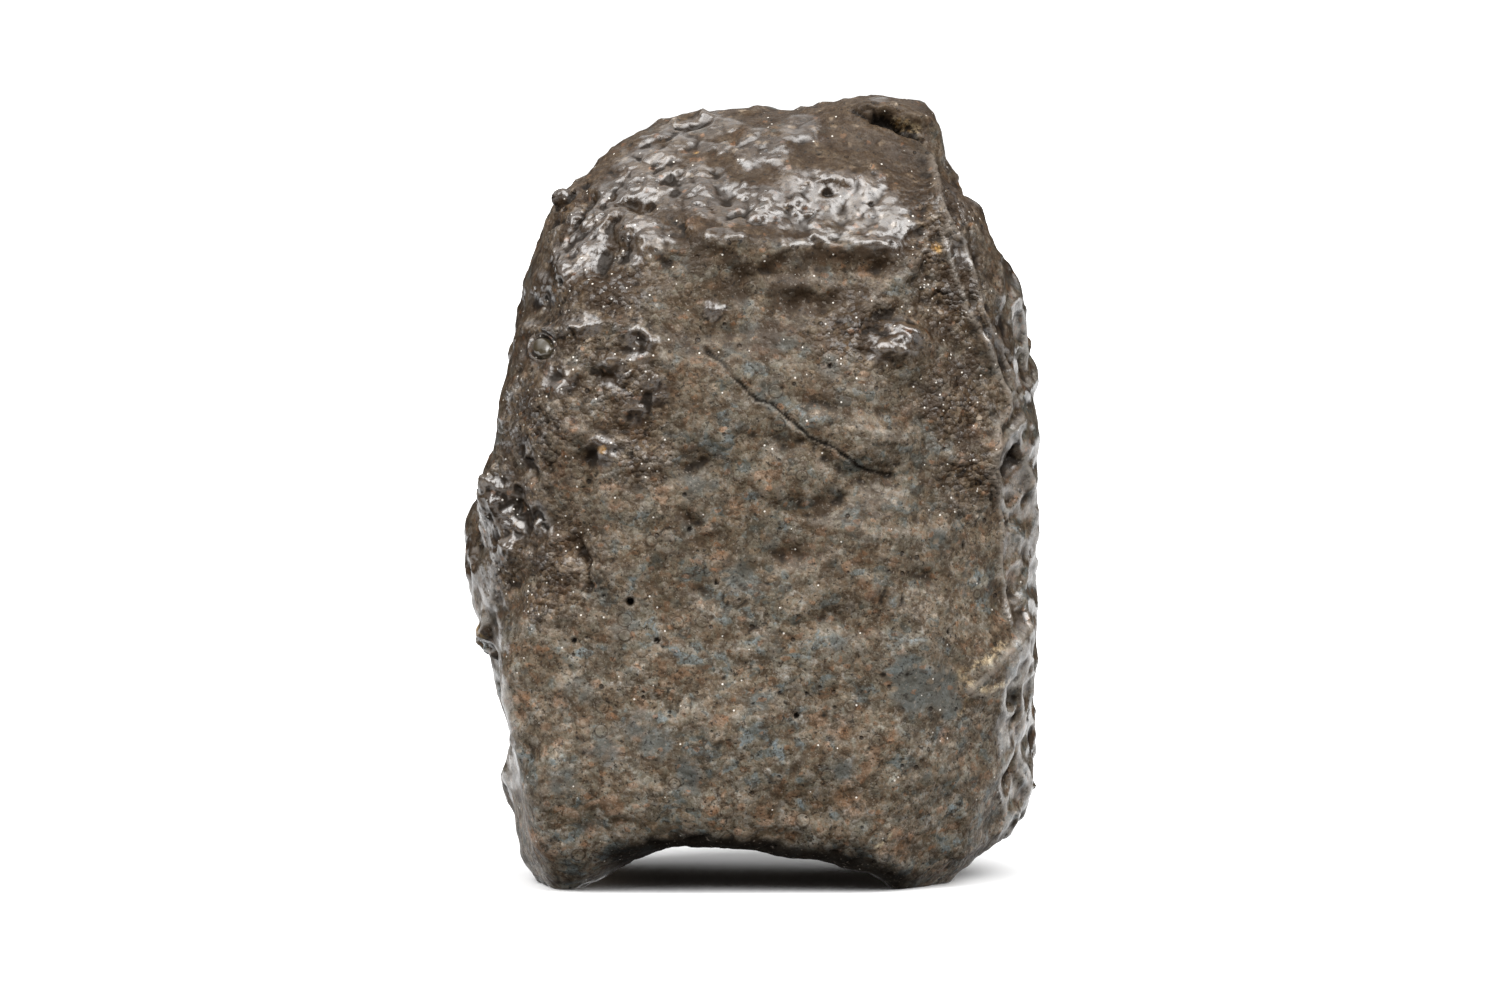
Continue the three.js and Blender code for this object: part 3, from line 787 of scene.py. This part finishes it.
def add_grain(skin):
    co = skin.co
    near, _ = cells(co + 0.1 * layered(co, *GRAIN_STRAY)[:, None], *GRAINS)
    grainy = (0.012 + 0.11 * skin.rough) * (1 - 0.8 * skin.plate) * (1 - 0.8 * skin.right)
    skin.height += grainy * (0.35 - near ** 2)
    skin.height += (0.006 + 0.020 * skin.rough) * layered(co, *FINE_GRAIN)


def add_hidden_plates(skin):
    """Plates on the sides that the picture doesn't show."""
    near, _ = cells(strayed(skin.co, *NET_STRAY), *HIDDEN_PLATES)
    plate = skin.hidden_patches(*HIDDEN_PLATE_AREAS) * (1 - ramp(0.35, 0.60, near))
    skin.height += 0.06 * plate
    skin.plate = np.maximum(skin.plate, plate)


def add_pits_and_beads(skin):
    """Pores, cuts and chondrules that the picture shows, and others strewn at random."""
    co, front = skin.co, skin.front
    tree = KDTree(len(co))
    for i, p in enumerate(co):
        tree.insert(p, i)
    tree.balance()
    rng = np.random.default_rng(7)
    even = np.where(skin.facing > 0.4, 1.0, 0.35)
    pits = [(front.at(*place), radius, depth) for radius, depth, *place in PORES]
    for i in strewn(co, PIT_COUNT, 8, even):
        radius = rng.uniform(0.06, 0.15)
        pits.append((co[i], radius, radius * rng.uniform(0.35, 0.9)))
    beads = [(front.at(*place), radius, rise) for radius, rise, *place in BEADS]
    for i in strewn(co, BEAD_COUNT, 9, even):
        radius = rng.uniform(0.16, 0.34)
        beads.append((co[i], radius, radius * rng.uniform(0.06, 0.16)))
    pit_height, pitted = pit_relief(co, tree, pits)
    cut_height, cut = cut_relief(co, front)
    ringed_height, flattened, skin.bead, ring = ringed_relief(co, skin.towards)
    skin.height += pit_height + cut_height + bead_relief(co, tree, beads)
    skin.height = skin.height * (1 - 0.8 * flattened) + ringed_height
    skin.cut = np.maximum(cut, pitted)
    skin.plate = np.maximum(skin.plate, 0.7 * ring)


def settle(skin):
    """Moves the vertices. The soles stay flat on the floor, and spikes at the edges are eased."""
    co = skin.co
    skin.height *= ramp(0.0, 0.9, co[:, 2])
    moved = co + skin.normals * skin.height[:, None]
    moved[:, 2] = np.maximum(moved[:, 2], 0.0)
    skin.edges = read_edges(skin.mesh)
    eased = smoothed(moved, skin.edges, 4) - moved
    edgewise = 1 - ramp(0.35, 0.65, skin.towards)
    spiky = ramp(0.05, 0.11, np.linalg.norm(eased, axis=1)) * edgewise
    moved += (spiky * ramp(0.3, 0.9, co[:, 2]))[:, None] * eased
    skin.moved = moved
    write_points(skin.mesh, moved)


def depth(skin, rounds):
    """How far each vertex lies under the surface smoothed by that many rounds."""
    rise = smoothed(skin.moved, skin.edges, rounds) - skin.moved
    return np.einsum("ij,ij->i", rise, skin.normals)


def hollows(skin):
    """Depth in the surface around, and deeper between the folds of the glossy skin."""
    hollow = 4.0 * depth(skin, 14)
    valley = depth(skin, 60)
    valley *= 2.5 + 8.0 * skin.crinkled * skin.facing
    hollow += ramp(0.3, 0.6, skin.gloss) * skin.facing * (valley - hollow)
    return hollow


def clay(skin):
    share = np.zeros(len(skin.co))
    edges = 1 + 0.6 * layered(skin.co, *CLAY_EDGES)
    for wide, *path in CLAY_LINES:
        away = skin.front.from_line(skin.co, path)
        share = np.maximum(share, 1 - ramp(0.6, 1.2, away / np.maximum(wide * edges, 0.02)))
    return share


def underside_shade(skin):
    """What faces the floor or the inside of the arch, between the feet, and is painted as shade."""
    x, z = skin.co[:, 0] - ARCH_MIDDLE, skin.co[:, 2]
    inward = -skin.normals[:, 0] * np.sign(x)
    share = np.maximum(ramp(0.4, 0.8, -skin.normals[:, 2]), ramp(0.25, 0.6, inward))
    return share * ((1 - ramp(1.8, 3.2, z)) * (1 - ramp(4.8, 6.0, np.abs(x))))


def masks(skin):
    """The shares, 0 to 1, that the material reads."""
    co, front = skin.co, skin.front
    ragged = 1 + 0.7 * layered(co, *ZONE_EDGES)
    slate = front.spots(co, MAIN_SLATE_ZONES) * (1.1 + 0.3 * (ragged - 1))
    slate = np.maximum(slate, 0.75 * front.spots(co, SLATE_ZONES) * ragged)
    slate = np.maximum(slate, skin.hidden_patches(*HIDDEN_SLATE))
    rust = front.spots(co, RUST_ZONES) * (0.4 + ragged * 0.6)
    rust = np.maximum(rust, skin.hidden_patches(*HIDDEN_RUST))
    # the dark zones, partly painted shade, and the painted shade under the ledge
    dark = np.maximum(front.spots(co, DARK_ZONES), 1.1 * skin.sheltered) * ragged
    sheen = np.maximum(skin.gloss, 0.9 * np.maximum(skin.right, skin.left))
    # painted shade: faces that point up are darkened
    painted_top_shade = ramp(0.1, 0.6, skin.normals[:, 2])
    return {
        "dark": ramp(0.35, 0.9, dark),
        # painted shade in hollows and creases, and painted light on crests
        "hollow": np.clip(0.5 + hollows(skin), 0, 1),
        "crease": np.clip(0.5 + depth(skin, 3) * 14.0, 0, 1),
        # painted shade in cuts and pits
        "cut": np.clip(skin.cut, 0, 1),
        "rough": np.clip(skin.rough, 0, 1),
        "gloss": ramp(0.08, 0.55, sheen),
        # painted shade on the underside between the feet
        "under": underside_shade(skin),
        "plate": np.clip(skin.plate, 0, 1),
        # the dark glossy crust, and painted shade on faces that point up
        "dark_crust_and_top_shade": np.maximum(ramp(0.08, 0.55, skin.gloss), painted_top_shade),
        "slate": ramp(0.30, 0.75, slate),
        "rust": ramp(0.30, 0.80, rust),
        "amber": ramp(0.35, 0.8, front.spots(co, AMBER_ZONES)),
        "clay": clay(skin),
        "bead": skin.bead,
        # painted highlight along the ridge crests
        "crest": np.clip(skin.crest, 0, 1),
        # painted light: the low front, facing the camera, is made lighter
        "painted_low_front_light": (1 - ramp(6.0, 12.0, co[:, 2])) * skin.facing,
    }


def model_skin(stone):
    front = Front(stone)
    refine_front(stone, front)
    skin = Skin(stone.data, front)
    for step in (draw_features, add_flow, add_drapes, add_net, add_grain, add_hidden_plates,
                 add_pits_and_beads, settle):
        step(skin)
    for name, values in masks(skin).items():
        attribute = stone.data.attributes.new(name, "FLOAT", "POINT")
        attribute.data.foreach_set("value", values.astype(np.float32))


# ---- material ------------------------------------------------------------------------------------

class Nodes:
    """Short calls that build a node tree."""

    def __init__(self, tree):
        self.tree = tree
        tree.nodes.clear()

    def add(self, kind, **settings):
        node = self.tree.nodes.new("ShaderNode" + kind)
        for name, value in settings.items():
            setattr(node, name, value)
        return node

    def link(self, source, target):
        self.tree.links.new(source, target)

    def feed(self, socket, value):
        if isinstance(value, bpy.types.NodeSocket):
            self.link(value, socket)
        else:
            socket.default_value = value

    def math(self, operation, a, b=0.0):
        node = self.add("Math", operation=operation)
        self.feed(node.inputs[0], a)
        self.feed(node.inputs[1], b)
        return node.outputs[0]

    def times(self, a, b):
        return self.math("MULTIPLY", a, b)

    def plus(self, a, b):
        return self.math("ADD", a, b)

    def most(self, a, b):
        return self.math("MAXIMUM", a, b)

    def scaled(self, value, factor, offset=0.0):
        node = self.add("Math", operation="MULTIPLY_ADD")
        self.feed(node.inputs[0], value)
        node.inputs[1].default_value = factor
        node.inputs[2].default_value = offset
        return node.outputs[0]

    def vector(self, operation, *values):
        node = self.add("VectorMath", operation=operation)
        for socket, value in zip(node.inputs, values):
            self.feed(socket, value)
        return node.outputs

    def mask(self, name):
        return self.add("Attribute", attribute_name=name).outputs["Fac"]

    def step(self, value, low, high):
        """0 below low, 1 above high, smooth between."""
        node = self.add("MapRange", interpolation_type="SMOOTHSTEP")
        self.feed(node.inputs["Value"], value)
        node.inputs["From Min"].default_value = low
        node.inputs["From Max"].default_value = high
        return node.outputs["Result"]

    def noise(self, where, scale, detail, roughness, output="Fac"):
        node = self.add("TexNoise")
        self.feed(node.inputs["Vector"], where)
        node.inputs["Scale"].default_value = scale
        node.inputs["Detail"].default_value = detail
        node.inputs["Roughness"].default_value = roughness
        return node.outputs[output]

    def voronoi(self, where, scale, feature="F1", smoothness=0.0):
        node = self.add("TexVoronoi", feature=feature)
        if feature == "SMOOTH_F1":
            node.inputs["Smoothness"].default_value = smoothness
        self.feed(node.inputs["Vector"], where)
        node.inputs["Scale"].default_value = scale
        return node.outputs

    def chance(self, grains, channel):
        """One of the three random numbers that each Voronoi cell has."""
        node = self.add("SeparateColor")
        self.link(grains["Color"], node.inputs[0])
        return node.outputs[channel]

    def dots(self, grains, channel, chosen, edge):
        """Round dots in the few cells whose random number is in the chosen range."""
        return self.times(self.step(self.chance(grains, channel), *chosen),
                          self.step(grains["Distance"], *edge))

    def ramp(self, value, stops):
        node = self.add("ValToRGB")
        self.feed(node.inputs[0], value)
        elements = node.color_ramp.elements
        for element, (place, colour) in ((elements[0], stops[0]), (elements[1], stops[-1])):
            element.position = place
            element.color = (*colour, 1.0)
        for place, colour in stops[1:-1]:
            elements.new(place).color = (*colour, 1.0)
        return node.outputs[0]

    def blend(self, share, a, b):
        node = self.add("Mix", data_type="FLOAT")
        for name, value in (("Factor", share), (2, a), (3, b)):
            self.feed(node.inputs[name], value)
        return node.outputs[0]

    def mix(self, share, a, b, blend="MIX"):
        node = self.add("Mix", data_type="RGBA", blend_type=blend)
        self.feed(node.inputs["Factor"], share)
        for socket, value in ((node.inputs[6], a), (node.inputs[7], b)):
            self.feed(socket, value if isinstance(value, bpy.types.NodeSocket) else (*value, 1.0))
        return node.outputs[2]

    def painted(self, colour, *layers):
        """The colour under layers of (share, strength, tint)."""
        for share, strength, tint in layers:
            colour = self.mix(self.scaled(share, strength), colour, tint)
        return colour


BROWN = (0.117, 0.081, 0.050)
UMBER = (0.031, 0.018, 0.009)
DARK_BROWN = (0.036, 0.019, 0.0075)
ROUGH_BROWN = (0.058, 0.031, 0.012)
GREYISH = (0.113, 0.092, 0.068)
OLIVE = (0.104, 0.085, 0.058)
BLUE_GREY = (0.077, 0.078, 0.067)
RUSSET = (0.126, 0.077, 0.045)
TAN = (0.20, 0.145, 0.095)
SLATE = (0.068, 0.070, 0.062)
RUST = (0.18, 0.080, 0.033)
AMBER = (0.30, 0.165, 0.045)
CLAY = (0.26, 0.190, 0.110)
CHONDRULE = (0.135, 0.115, 0.083)
BEAD = (0.055, 0.042, 0.022)
# near black: painted shade in creases, valleys, cuts, pits and on the underside, and dark specks
SHADE_AND_SPECK_BLACK = (0.008, 0.006, 0.0045)
PALE = (0.22, 0.188, 0.156)
# bright dots painted on as glints
PAINTED_GLINT = (0.62, 0.58, 0.52)

# The hues of the mottling, from cold to warm.
HUES = [
    (0.32, BLUE_GREY), (0.40, OLIVE), (0.48, GREYISH), (0.54, BROWN), (0.60, OLIVE), (0.70, RUSSET),
]

# Noises of the crust: (features per millimetre, detail, roughness).
STRAY = (2.2, 3.0, 0.55)
MIDDLE = (0.85, 4.0, 0.6)
FINE = (3.4, 5.0, 0.72)
SPECKS = (8.0, 2.0, 0.5)
GRIT = (12.0, 3.0, 0.7)
SOFT = (1.6, 2.0, 0.5)
SEAMS = (1.1, 3.0, 0.6)
DULLNESS = (2.3, 4.0, 0.65)
VARNISH_EDGES = (1.3, 3.0, 0.55)

# Cells of the crust: features per millimetre, and how softly they meet.
PATCHES = (1.25, "SMOOTH_F1", 0.30)
CRUST_GRAINS = (3.2, "SMOOTH_F1", 0.20)
CRUMBS = 5.4
CHONDRULES = 1.15
POCKS = 2.1
STAINS = 1.9
GLINTS = 7.5
FLECKS = 3.1

ONE_IN_SIX = (0.84, 0.85)
FINISH = {
    "IOR": 1.25, "Specular Tint": (1.0, 0.92, 0.84, 1.0), "Coat Roughness": 0.24, "Coat IOR": 1.90,
}


class Crust(Nodes):
    """The look of the skin, from textures in millimetres and the masks that Skin gives."""

    def __init__(self, tree):
        super().__init__(tree)
        self.shader = self.add("BsdfPrincipled")
        self.link(self.shader.outputs["BSDF"], self.add("OutputMaterial").inputs["Surface"])

        places = self.add("TexCoord").outputs["Object"]
        self.where = self.vector("MULTIPLY", places, (1 / MM, 1 / MM, 1 / MM))["Vector"]
        stray = self.noise(self.where, *STRAY, output="Color")
        stretched = self.vector("MULTIPLY", self.where, (0.9, 0.9, 1.1))["Vector"]
        self.strayed = self.vector("MULTIPLY_ADD", stray, (0.55, 0.55, 0.35), stretched)["Vector"]
        self.middle = self.noise(self.where, *MIDDLE)
        self.fine = self.noise(self.where, *FINE)
        self.speck = self.noise(self.where, *SPECKS)
        self.grit = self.noise(self.where, *GRIT)
        self.large = self.voronoi(self.strayed, *PATCHES)
        self.small = self.voronoi(self.strayed, *CRUST_GRAINS)
        self.crumb = self.voronoi(self.where, CRUMBS)
        self.ball = self.voronoi(self.where, CHONDRULES)
        self.heart = self.dots(self.ball, 0, ONE_IN_SIX, (0.28, 0.23))
        # little pits, which are painted dark as shade
        pock = self.voronoi(self.where, POCKS)
        shrunk = self.math("SUBTRACT", pock["Distance"], self.scaled(self.chance(pock, 1), 0.10))
        self.pock = self.times(self.step(self.chance(pock, 0), *ONE_IN_SIX),
                               self.step(shrunk, 0.16, 0.06))

        self.gloss = self.mask("gloss")
        self.plate = self.mask("plate")
        self.rough = self.mask("rough")
        self.dark_crust_and_top_shade = self.mask("dark_crust_and_top_shade")
        self.crease = self.mask("crease")
        self.hollow = self.mask("hollow")
        self.under = self.mask("under")
        self.amber = self.mask("amber")
        self.clay = self.mask("clay")
        self.bead = self.mask("bead")
        cold = self.scaled(self.step(self.middle, 0.36, 0.28), 0.8)
        self.slate = self.most(self.mask("slate"), cold)


def mottling(n):
    """Soft patches about 1 mm wide, and grains a third of that, each with its own tone."""
    hue = n.plus(n.scaled(n.chance(n.large, 0), 0.25),
                 n.scaled(n.chance(n.small, 0), 0.25))
    hue = n.plus(hue, n.scaled(n.noise(n.where, *SOFT), 0.6, -0.05))
    # rough skin browner, the glossy crust darker, and faces that point up darkened as painted shade
    return n.painted(
        n.ramp(hue, HUES), (n.rough, 0.80, ROUGH_BROWN), (n.dark_crust_and_top_shade, 0.85, DARK_BROWN),
        (n.slate, 0.85, SLATE))


def tinted(n, colour):
    """Rusty and tan grains, which are a few of the cells, and rust, amber and clay."""
    rusty = n.dots(n.small, 2, (0.84, 0.88), (0.42, 0.28))
    tan = n.dots(n.small, 2, (0.20, 0.12), (0.50, 0.20))
    zone = n.times(n.mask("rust"), n.step(n.fine, 0.36, 0.58))
    clay = n.times(n.clay, n.step(n.fine, 0.40, 0.52))
    return n.painted(
        colour, (n.most(zone, rusty), 0.45, RUST), (tan, 0.55, TAN),
        (n.amber, 0.9, AMBER), (clay, 1.0, CLAY))


def toned(n, colour):
    """Uneven darkness, from the patches down to single grains, and painted light and shade."""
    level = n.scaled(n.step(n.chance(n.large, 1), 0.25, 0.75), 0.44, 0.78)
    for value, low, high, least, most in (
            (n.chance(n.small, 1), 0.15, 0.85, 0.80, 1.20),
            (n.fine, 0.32, 0.68, 0.72, 1.28),
            (n.chance(n.crumb, 1), 0.00, 1.00, 0.82, 1.18),
            (n.grit, 0.32, 0.68, 0.76, 1.24),
            # painted shade in hollows, painted light on crests
            (n.hollow, 0.20, 0.85, 1.20, 0.75)):
        level = n.times(level, n.scaled(n.step(value, low, high), most - least, least))
    harsh = n.scaled(n.chance(n.crumb, 0), 1.85, 0.15)
    level = n.times(level, n.blend(n.scaled(n.rough, 0.9), 1.0, harsh))
    level = n.blend(n.scaled(n.slate, 0.6), level, 0.85)
    # painted light on the low front that faces the camera
    level = n.times(level, n.scaled(n.mask("painted_low_front_light"), 0.30, 1.0))
    tone = n.add("CombineColor")
    for socket, power in zip(tone.inputs, (0.85, 1.0, 1.2)):
        n.link(n.math("POWER", level, power), socket)
    return n.mix(1.0, colour, tone.outputs[0], "MULTIPLY")


def spotted(n, colour):
    """Chondrules in dark rims, little pits painted dark as shade, and stains."""
    whole = n.dots(n.ball, 0, ONE_IN_SIX, (0.33, 0.30))
    rim = n.math("SUBTRACT", whole, n.heart)
    pale = n.times(n.heart, n.scaled(n.dark_crust_and_top_shade, -0.30, 0.35))
    stain = n.dots(n.voronoi(n.strayed, STAINS), 2, (0.74, 0.76), (0.34, 0.08))
    return n.painted(colour, (rim, 0.60, UMBER), (pale, 1.0, CHONDRULE),
                     (n.pock, 0.80, SHADE_AND_SPECK_BLACK), (stain, 0.55, UMBER))


def seamed(n, colour):
    """Brown seams between the patches, and winding ones across them."""
    seam = n.math("ABSOLUTE", n.scaled(n.noise(n.strayed, *SEAMS), 1.0, -0.5))
    seam = n.times(n.step(seam, 0.040, 0.006), n.step(n.fine, 0.62, 0.42))
    gap = n.times(n.step(n.large["Distance"], 0.42, 0.72),
                  n.step(n.fine, 0.66, 0.40))
    seam = n.most(n.scaled(seam, 0.75), n.scaled(gap, 0.60))
    return n.mix(n.times(seam, n.scaled(n.slate, -0.8, 1.0)), colour, UMBER)


def painted_light_shade_and_specks(n, colour):
    """Painted shade in the hollows and underneath, painted light on the crests, and random specks."""
    # painted shade in the valleys of the glossy crust and of faces that point up
    valley = n.times(n.dark_crust_and_top_shade, n.step(n.hollow, 0.50, 0.80))
    valley = n.times(valley, n.scaled(n.amber, -1.0, 1.0))
    # painted light: crests made paler
    painted_crest_light = n.times(n.step(n.crease, 0.46, 0.20), n.scaled(n.dark_crust_and_top_shade, -0.18, 0.20))
    filled = n.scaled(n.most(n.clay, n.amber), -0.8, 0.95)
    pale = n.times(n.step(n.speck, 0.62, 0.70), n.scaled(n.dark_crust_and_top_shade, -0.40, 0.50))
    return n.painted(
        colour,
        # painted shade in hollows and creases
        (n.step(n.hollow, 0.58, 0.95), 0.60, UMBER),
        (n.step(n.crease, 0.58, 0.95), 0.75, SHADE_AND_SPECK_BLACK),
        (valley, 0.80, SHADE_AND_SPECK_BLACK),
        (painted_crest_light, 1.0, PALE),
        # partly painted shade under the brow, in hollows and at the arch, partly darker skin
        (n.mask("dark"), 0.80, UMBER),
        # painted highlight on the ridge crests
        (n.mask("crest"), 0.55, PALE),
        # painted shade on the underside
        (n.under, 0.90, SHADE_AND_SPECK_BLACK),
        # painted shade in cuts and pits, less where clay or amber fills them
        (n.times(n.mask("cut"), filled), 1.0, SHADE_AND_SPECK_BLACK),
        (pale, 1.0, PALE),
        (n.step(n.speck, 0.39, 0.31), 0.75, SHADE_AND_SPECK_BLACK))


def glinting(n, colour):
    """Tiny painted glints, most of them on rough skin, and the bare dome of the ringed chondrule."""
    glint = n.voronoi(n.where, GLINTS)
    lively = n.times(n.rough, n.step(n.middle, 0.36, 0.52))
    limit = n.plus(n.scaled(lively, -0.11, 0.990), n.scaled(n.gloss, 0.006))
    bright = n.times(n.math("GREATER_THAN", n.chance(glint, 0), limit),
                     n.step(glint["Distance"], 0.30, 0.20))
    return n.painted(colour, (bright, 1.0, PAINTED_GLINT), (n.bead, 0.85, BEAD))


def paint(n):
    colour = mottling(n)
    for change in (tinted, toned, spotted, seamed, painted_light_shade_and_specks, glinting):
        colour = change(n, colour)
    n.link(colour, n.shader.inputs["Base Color"])
    metal = n.dots(n.voronoi(n.where, FLECKS), 1, (0.90, 0.91), (0.16, 0.10))
    n.link(metal, n.shader.inputs["Metallic"])


def varnish(n):
    """Thick on the plates and the glossy skin, broken by grains and gone from the hollows."""
    dull = n.scaled(n.noise(n.where, *DULLNESS), 0.50, 0.25)
    dull = n.math("SUBTRACT", dull, n.scaled(n.gloss, 0.15))
    n.link(n.most(dull, n.under), n.shader.inputs["Roughness"])
    ragged = n.plus(n.scaled(n.noise(n.where, *VARNISH_EDGES), 1.6, -0.8),
                    n.scaled(n.fine, 0.7, -0.35))
    ragged = n.plus(ragged, n.scaled(n.crease, -0.5, 0.25))
    thick = n.most(n.scaled(n.plate, 0.95), n.scaled(n.gloss, 0.85))
    thick = n.step(n.plus(thick, ragged), 0.25, 0.95)
    grain = n.times(n.step(n.chance(n.crumb, 2), 0.60, 0.75),
                    n.scaled(n.rough, 0.7))
    thin = n.most(n.scaled(n.step(n.fine, 0.30, 0.50), 0.10), grain)
    bare = n.most(n.step(n.hollow, 0.46, 0.78), n.under)
    coat = n.times(n.most(thin, thick), n.scaled(bare, -0.95, 1.0))
    n.link(coat, n.shader.inputs["Coat Weight"])
    for name, value in FINISH.items():
        n.shader.inputs[name].default_value = value


def raise_grains(n):
    """Bump under the size of the mesh; heights are in millimetres."""
    lively = n.most(n.rough, n.scaled(n.gloss, 0.05))
    calm = n.most(n.scaled(n.most(n.plate, n.gloss), 0.75), n.bead)
    calm = n.scaled(calm, -0.95, 1.0)
    dome = n.times(n.times(n.crumb["Distance"], n.crumb["Distance"]),
                   n.scaled(lively, -0.080, -0.015))
    lump = n.times(n.times(n.small["Distance"], n.small["Distance"]),
                   n.scaled(lively, -0.050, -0.030))
    spot = n.plus(n.scaled(n.pock, -0.05), n.scaled(n.heart, 0.015))
    lump = n.plus(lump, spot)
    cellular = n.plus(n.times(dome, calm), n.times(lump, calm))
    ripple = n.times(n.fine, n.times(calm, n.scaled(lively, 0.040, 0.022)))
    grains = n.times(n.grit, n.times(calm, n.scaled(lively, 0.012, 0.012)))
    bump = n.add("Bump")
    bump.inputs["Distance"].default_value = MM
    bump.inputs["Strength"].default_value = 1.0
    n.link(n.plus(cellular, n.plus(ripple, grains)), bump.inputs["Height"])
    for name in ("Normal", "Coat Normal"):
        n.link(bump.outputs["Normal"], n.shader.inputs[name])


def crust_material():
    material = bpy.data.materials.new("crust")
    material.use_nodes = True
    n = Crust(material.node_tree)
    paint(n)
    varnish(n)
    raise_grains(n)
    return material


# ---- floor and light -----------------------------------------------------------------------------

FLOOR_REACH = 3000.0
FLOOR_SHADE = 0.95

# The softboxes: direction, cosines of the outer and inner edge, radiance.
SOFTBOXES = [
    ((-0.55, -0.48, 0.68), (0.88, 0.955), 5.9), ((0.55, -0.52, 0.66), (0.88, 0.955), 6.2),
    ((0.00, -0.30, 0.95), (0.93, 0.975), 3.5),
]
WALLS = 0.6
WALL_BEHIND = 1.2
ROOM_IN_FRONT = 0.4
HORIZON = 0.02
HORIZON_DROP = 0.16  # how much lower the dark horizon lies behind the stone
TABLE_IN_FRONT = 1.05
TABLE_AROUND = 1.4
UNDER_THE_STONE = 0.08
BACKDROP = 1.2


def add_floor():
    size = FLOOR_REACH * MM
    corners = [(-size, -size, 0), (size, -size, 0), (size, size, 0), (-size, size, 0)]
    mesh = bpy.data.meshes.new("floor")
    mesh.from_pydata(corners, [], [(0, 1, 2, 3)])
    floor = bpy.data.objects.new("floor", mesh)
    bpy.context.scene.collection.objects.link(floor)
    material = bpy.data.materials.new("pale_floor")
    material.use_nodes = True
    shader = material.node_tree.nodes["Principled BSDF"]
    shader.inputs["Base Color"].default_value = (FLOOR_SHADE, FLOOR_SHADE, FLOOR_SHADE, 1)
    shader.inputs["Roughness"].default_value = 1.0
    shader.inputs["Specular IOR Level"].default_value = 0.0
    mesh.materials.append(material)
    # the stone sees the table that the world draws below the horizon, not this one
    floor.visible_diffuse = False
    floor.visible_glossy = False


def add_world():
    """A white studio: softboxes above, bright walls, a dimmer room in front and a table below."""
    world = bpy.data.worlds.new("studio")
    bpy.context.scene.world = world
    world.use_nodes = True
    n = Nodes(world.node_tree)
    direction = n.add("TexCoord").outputs["Generated"]
    axes = n.add("SeparateXYZ")
    n.link(direction, axes.inputs[0])
    up = axes.outputs["Z"]
    around = n.step(axes.outputs["Y"], -1.0, -0.55)
    behind = n.step(axes.outputs["Y"], 0.1, 0.7)
    room = n.blend(around, ROOM_IN_FRONT, n.scaled(behind, WALL_BEHIND - WALLS, WALLS))
    lifted = n.math("SUBTRACT", up, n.scaled(behind, HORIZON_DROP))
    room = n.blend(n.step(lifted, 0.15, 0.42), HORIZON, room)
    table = n.scaled(around, TABLE_AROUND - TABLE_IN_FRONT, TABLE_IN_FRONT)
    table = n.blend(n.step(up, -0.20, -0.60), table, UNDER_THE_STONE)
    glow = n.blend(n.step(up, 0.0, -0.08), room, table)
    for aim, edges, radiance in SOFTBOXES:
        toward = n.vector("DOT_PRODUCT", direction, Vector(aim).normalized())["Value"]
        glow = n.plus(glow, n.scaled(n.step(toward, *edges), radiance))
    seen = n.blend(n.add("LightPath").outputs["Is Camera Ray"], glow, BACKDROP)
    background = n.add("Background")
    background.inputs["Color"].default_value = (1, 1, 1, 1)
    n.link(seen, background.inputs["Strength"])
    n.link(background.outputs[0], n.add("OutputWorld").inputs["Surface"])


add_camera()
stone = remeshed_stone()
model_skin(stone)
stone.data.transform(Matrix.Scale(MM, 4))
for polygon in stone.data.polygons:
    polygon.use_smooth = True
stone.name = "stone"
stone.data.materials.append(crust_material())
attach(stone, "root")
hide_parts(STONE)

add_floor()
add_world()
bpy.context.scene.view_settings.view_transform = "Standard"
bpy.context.scene.view_settings.look = "None"
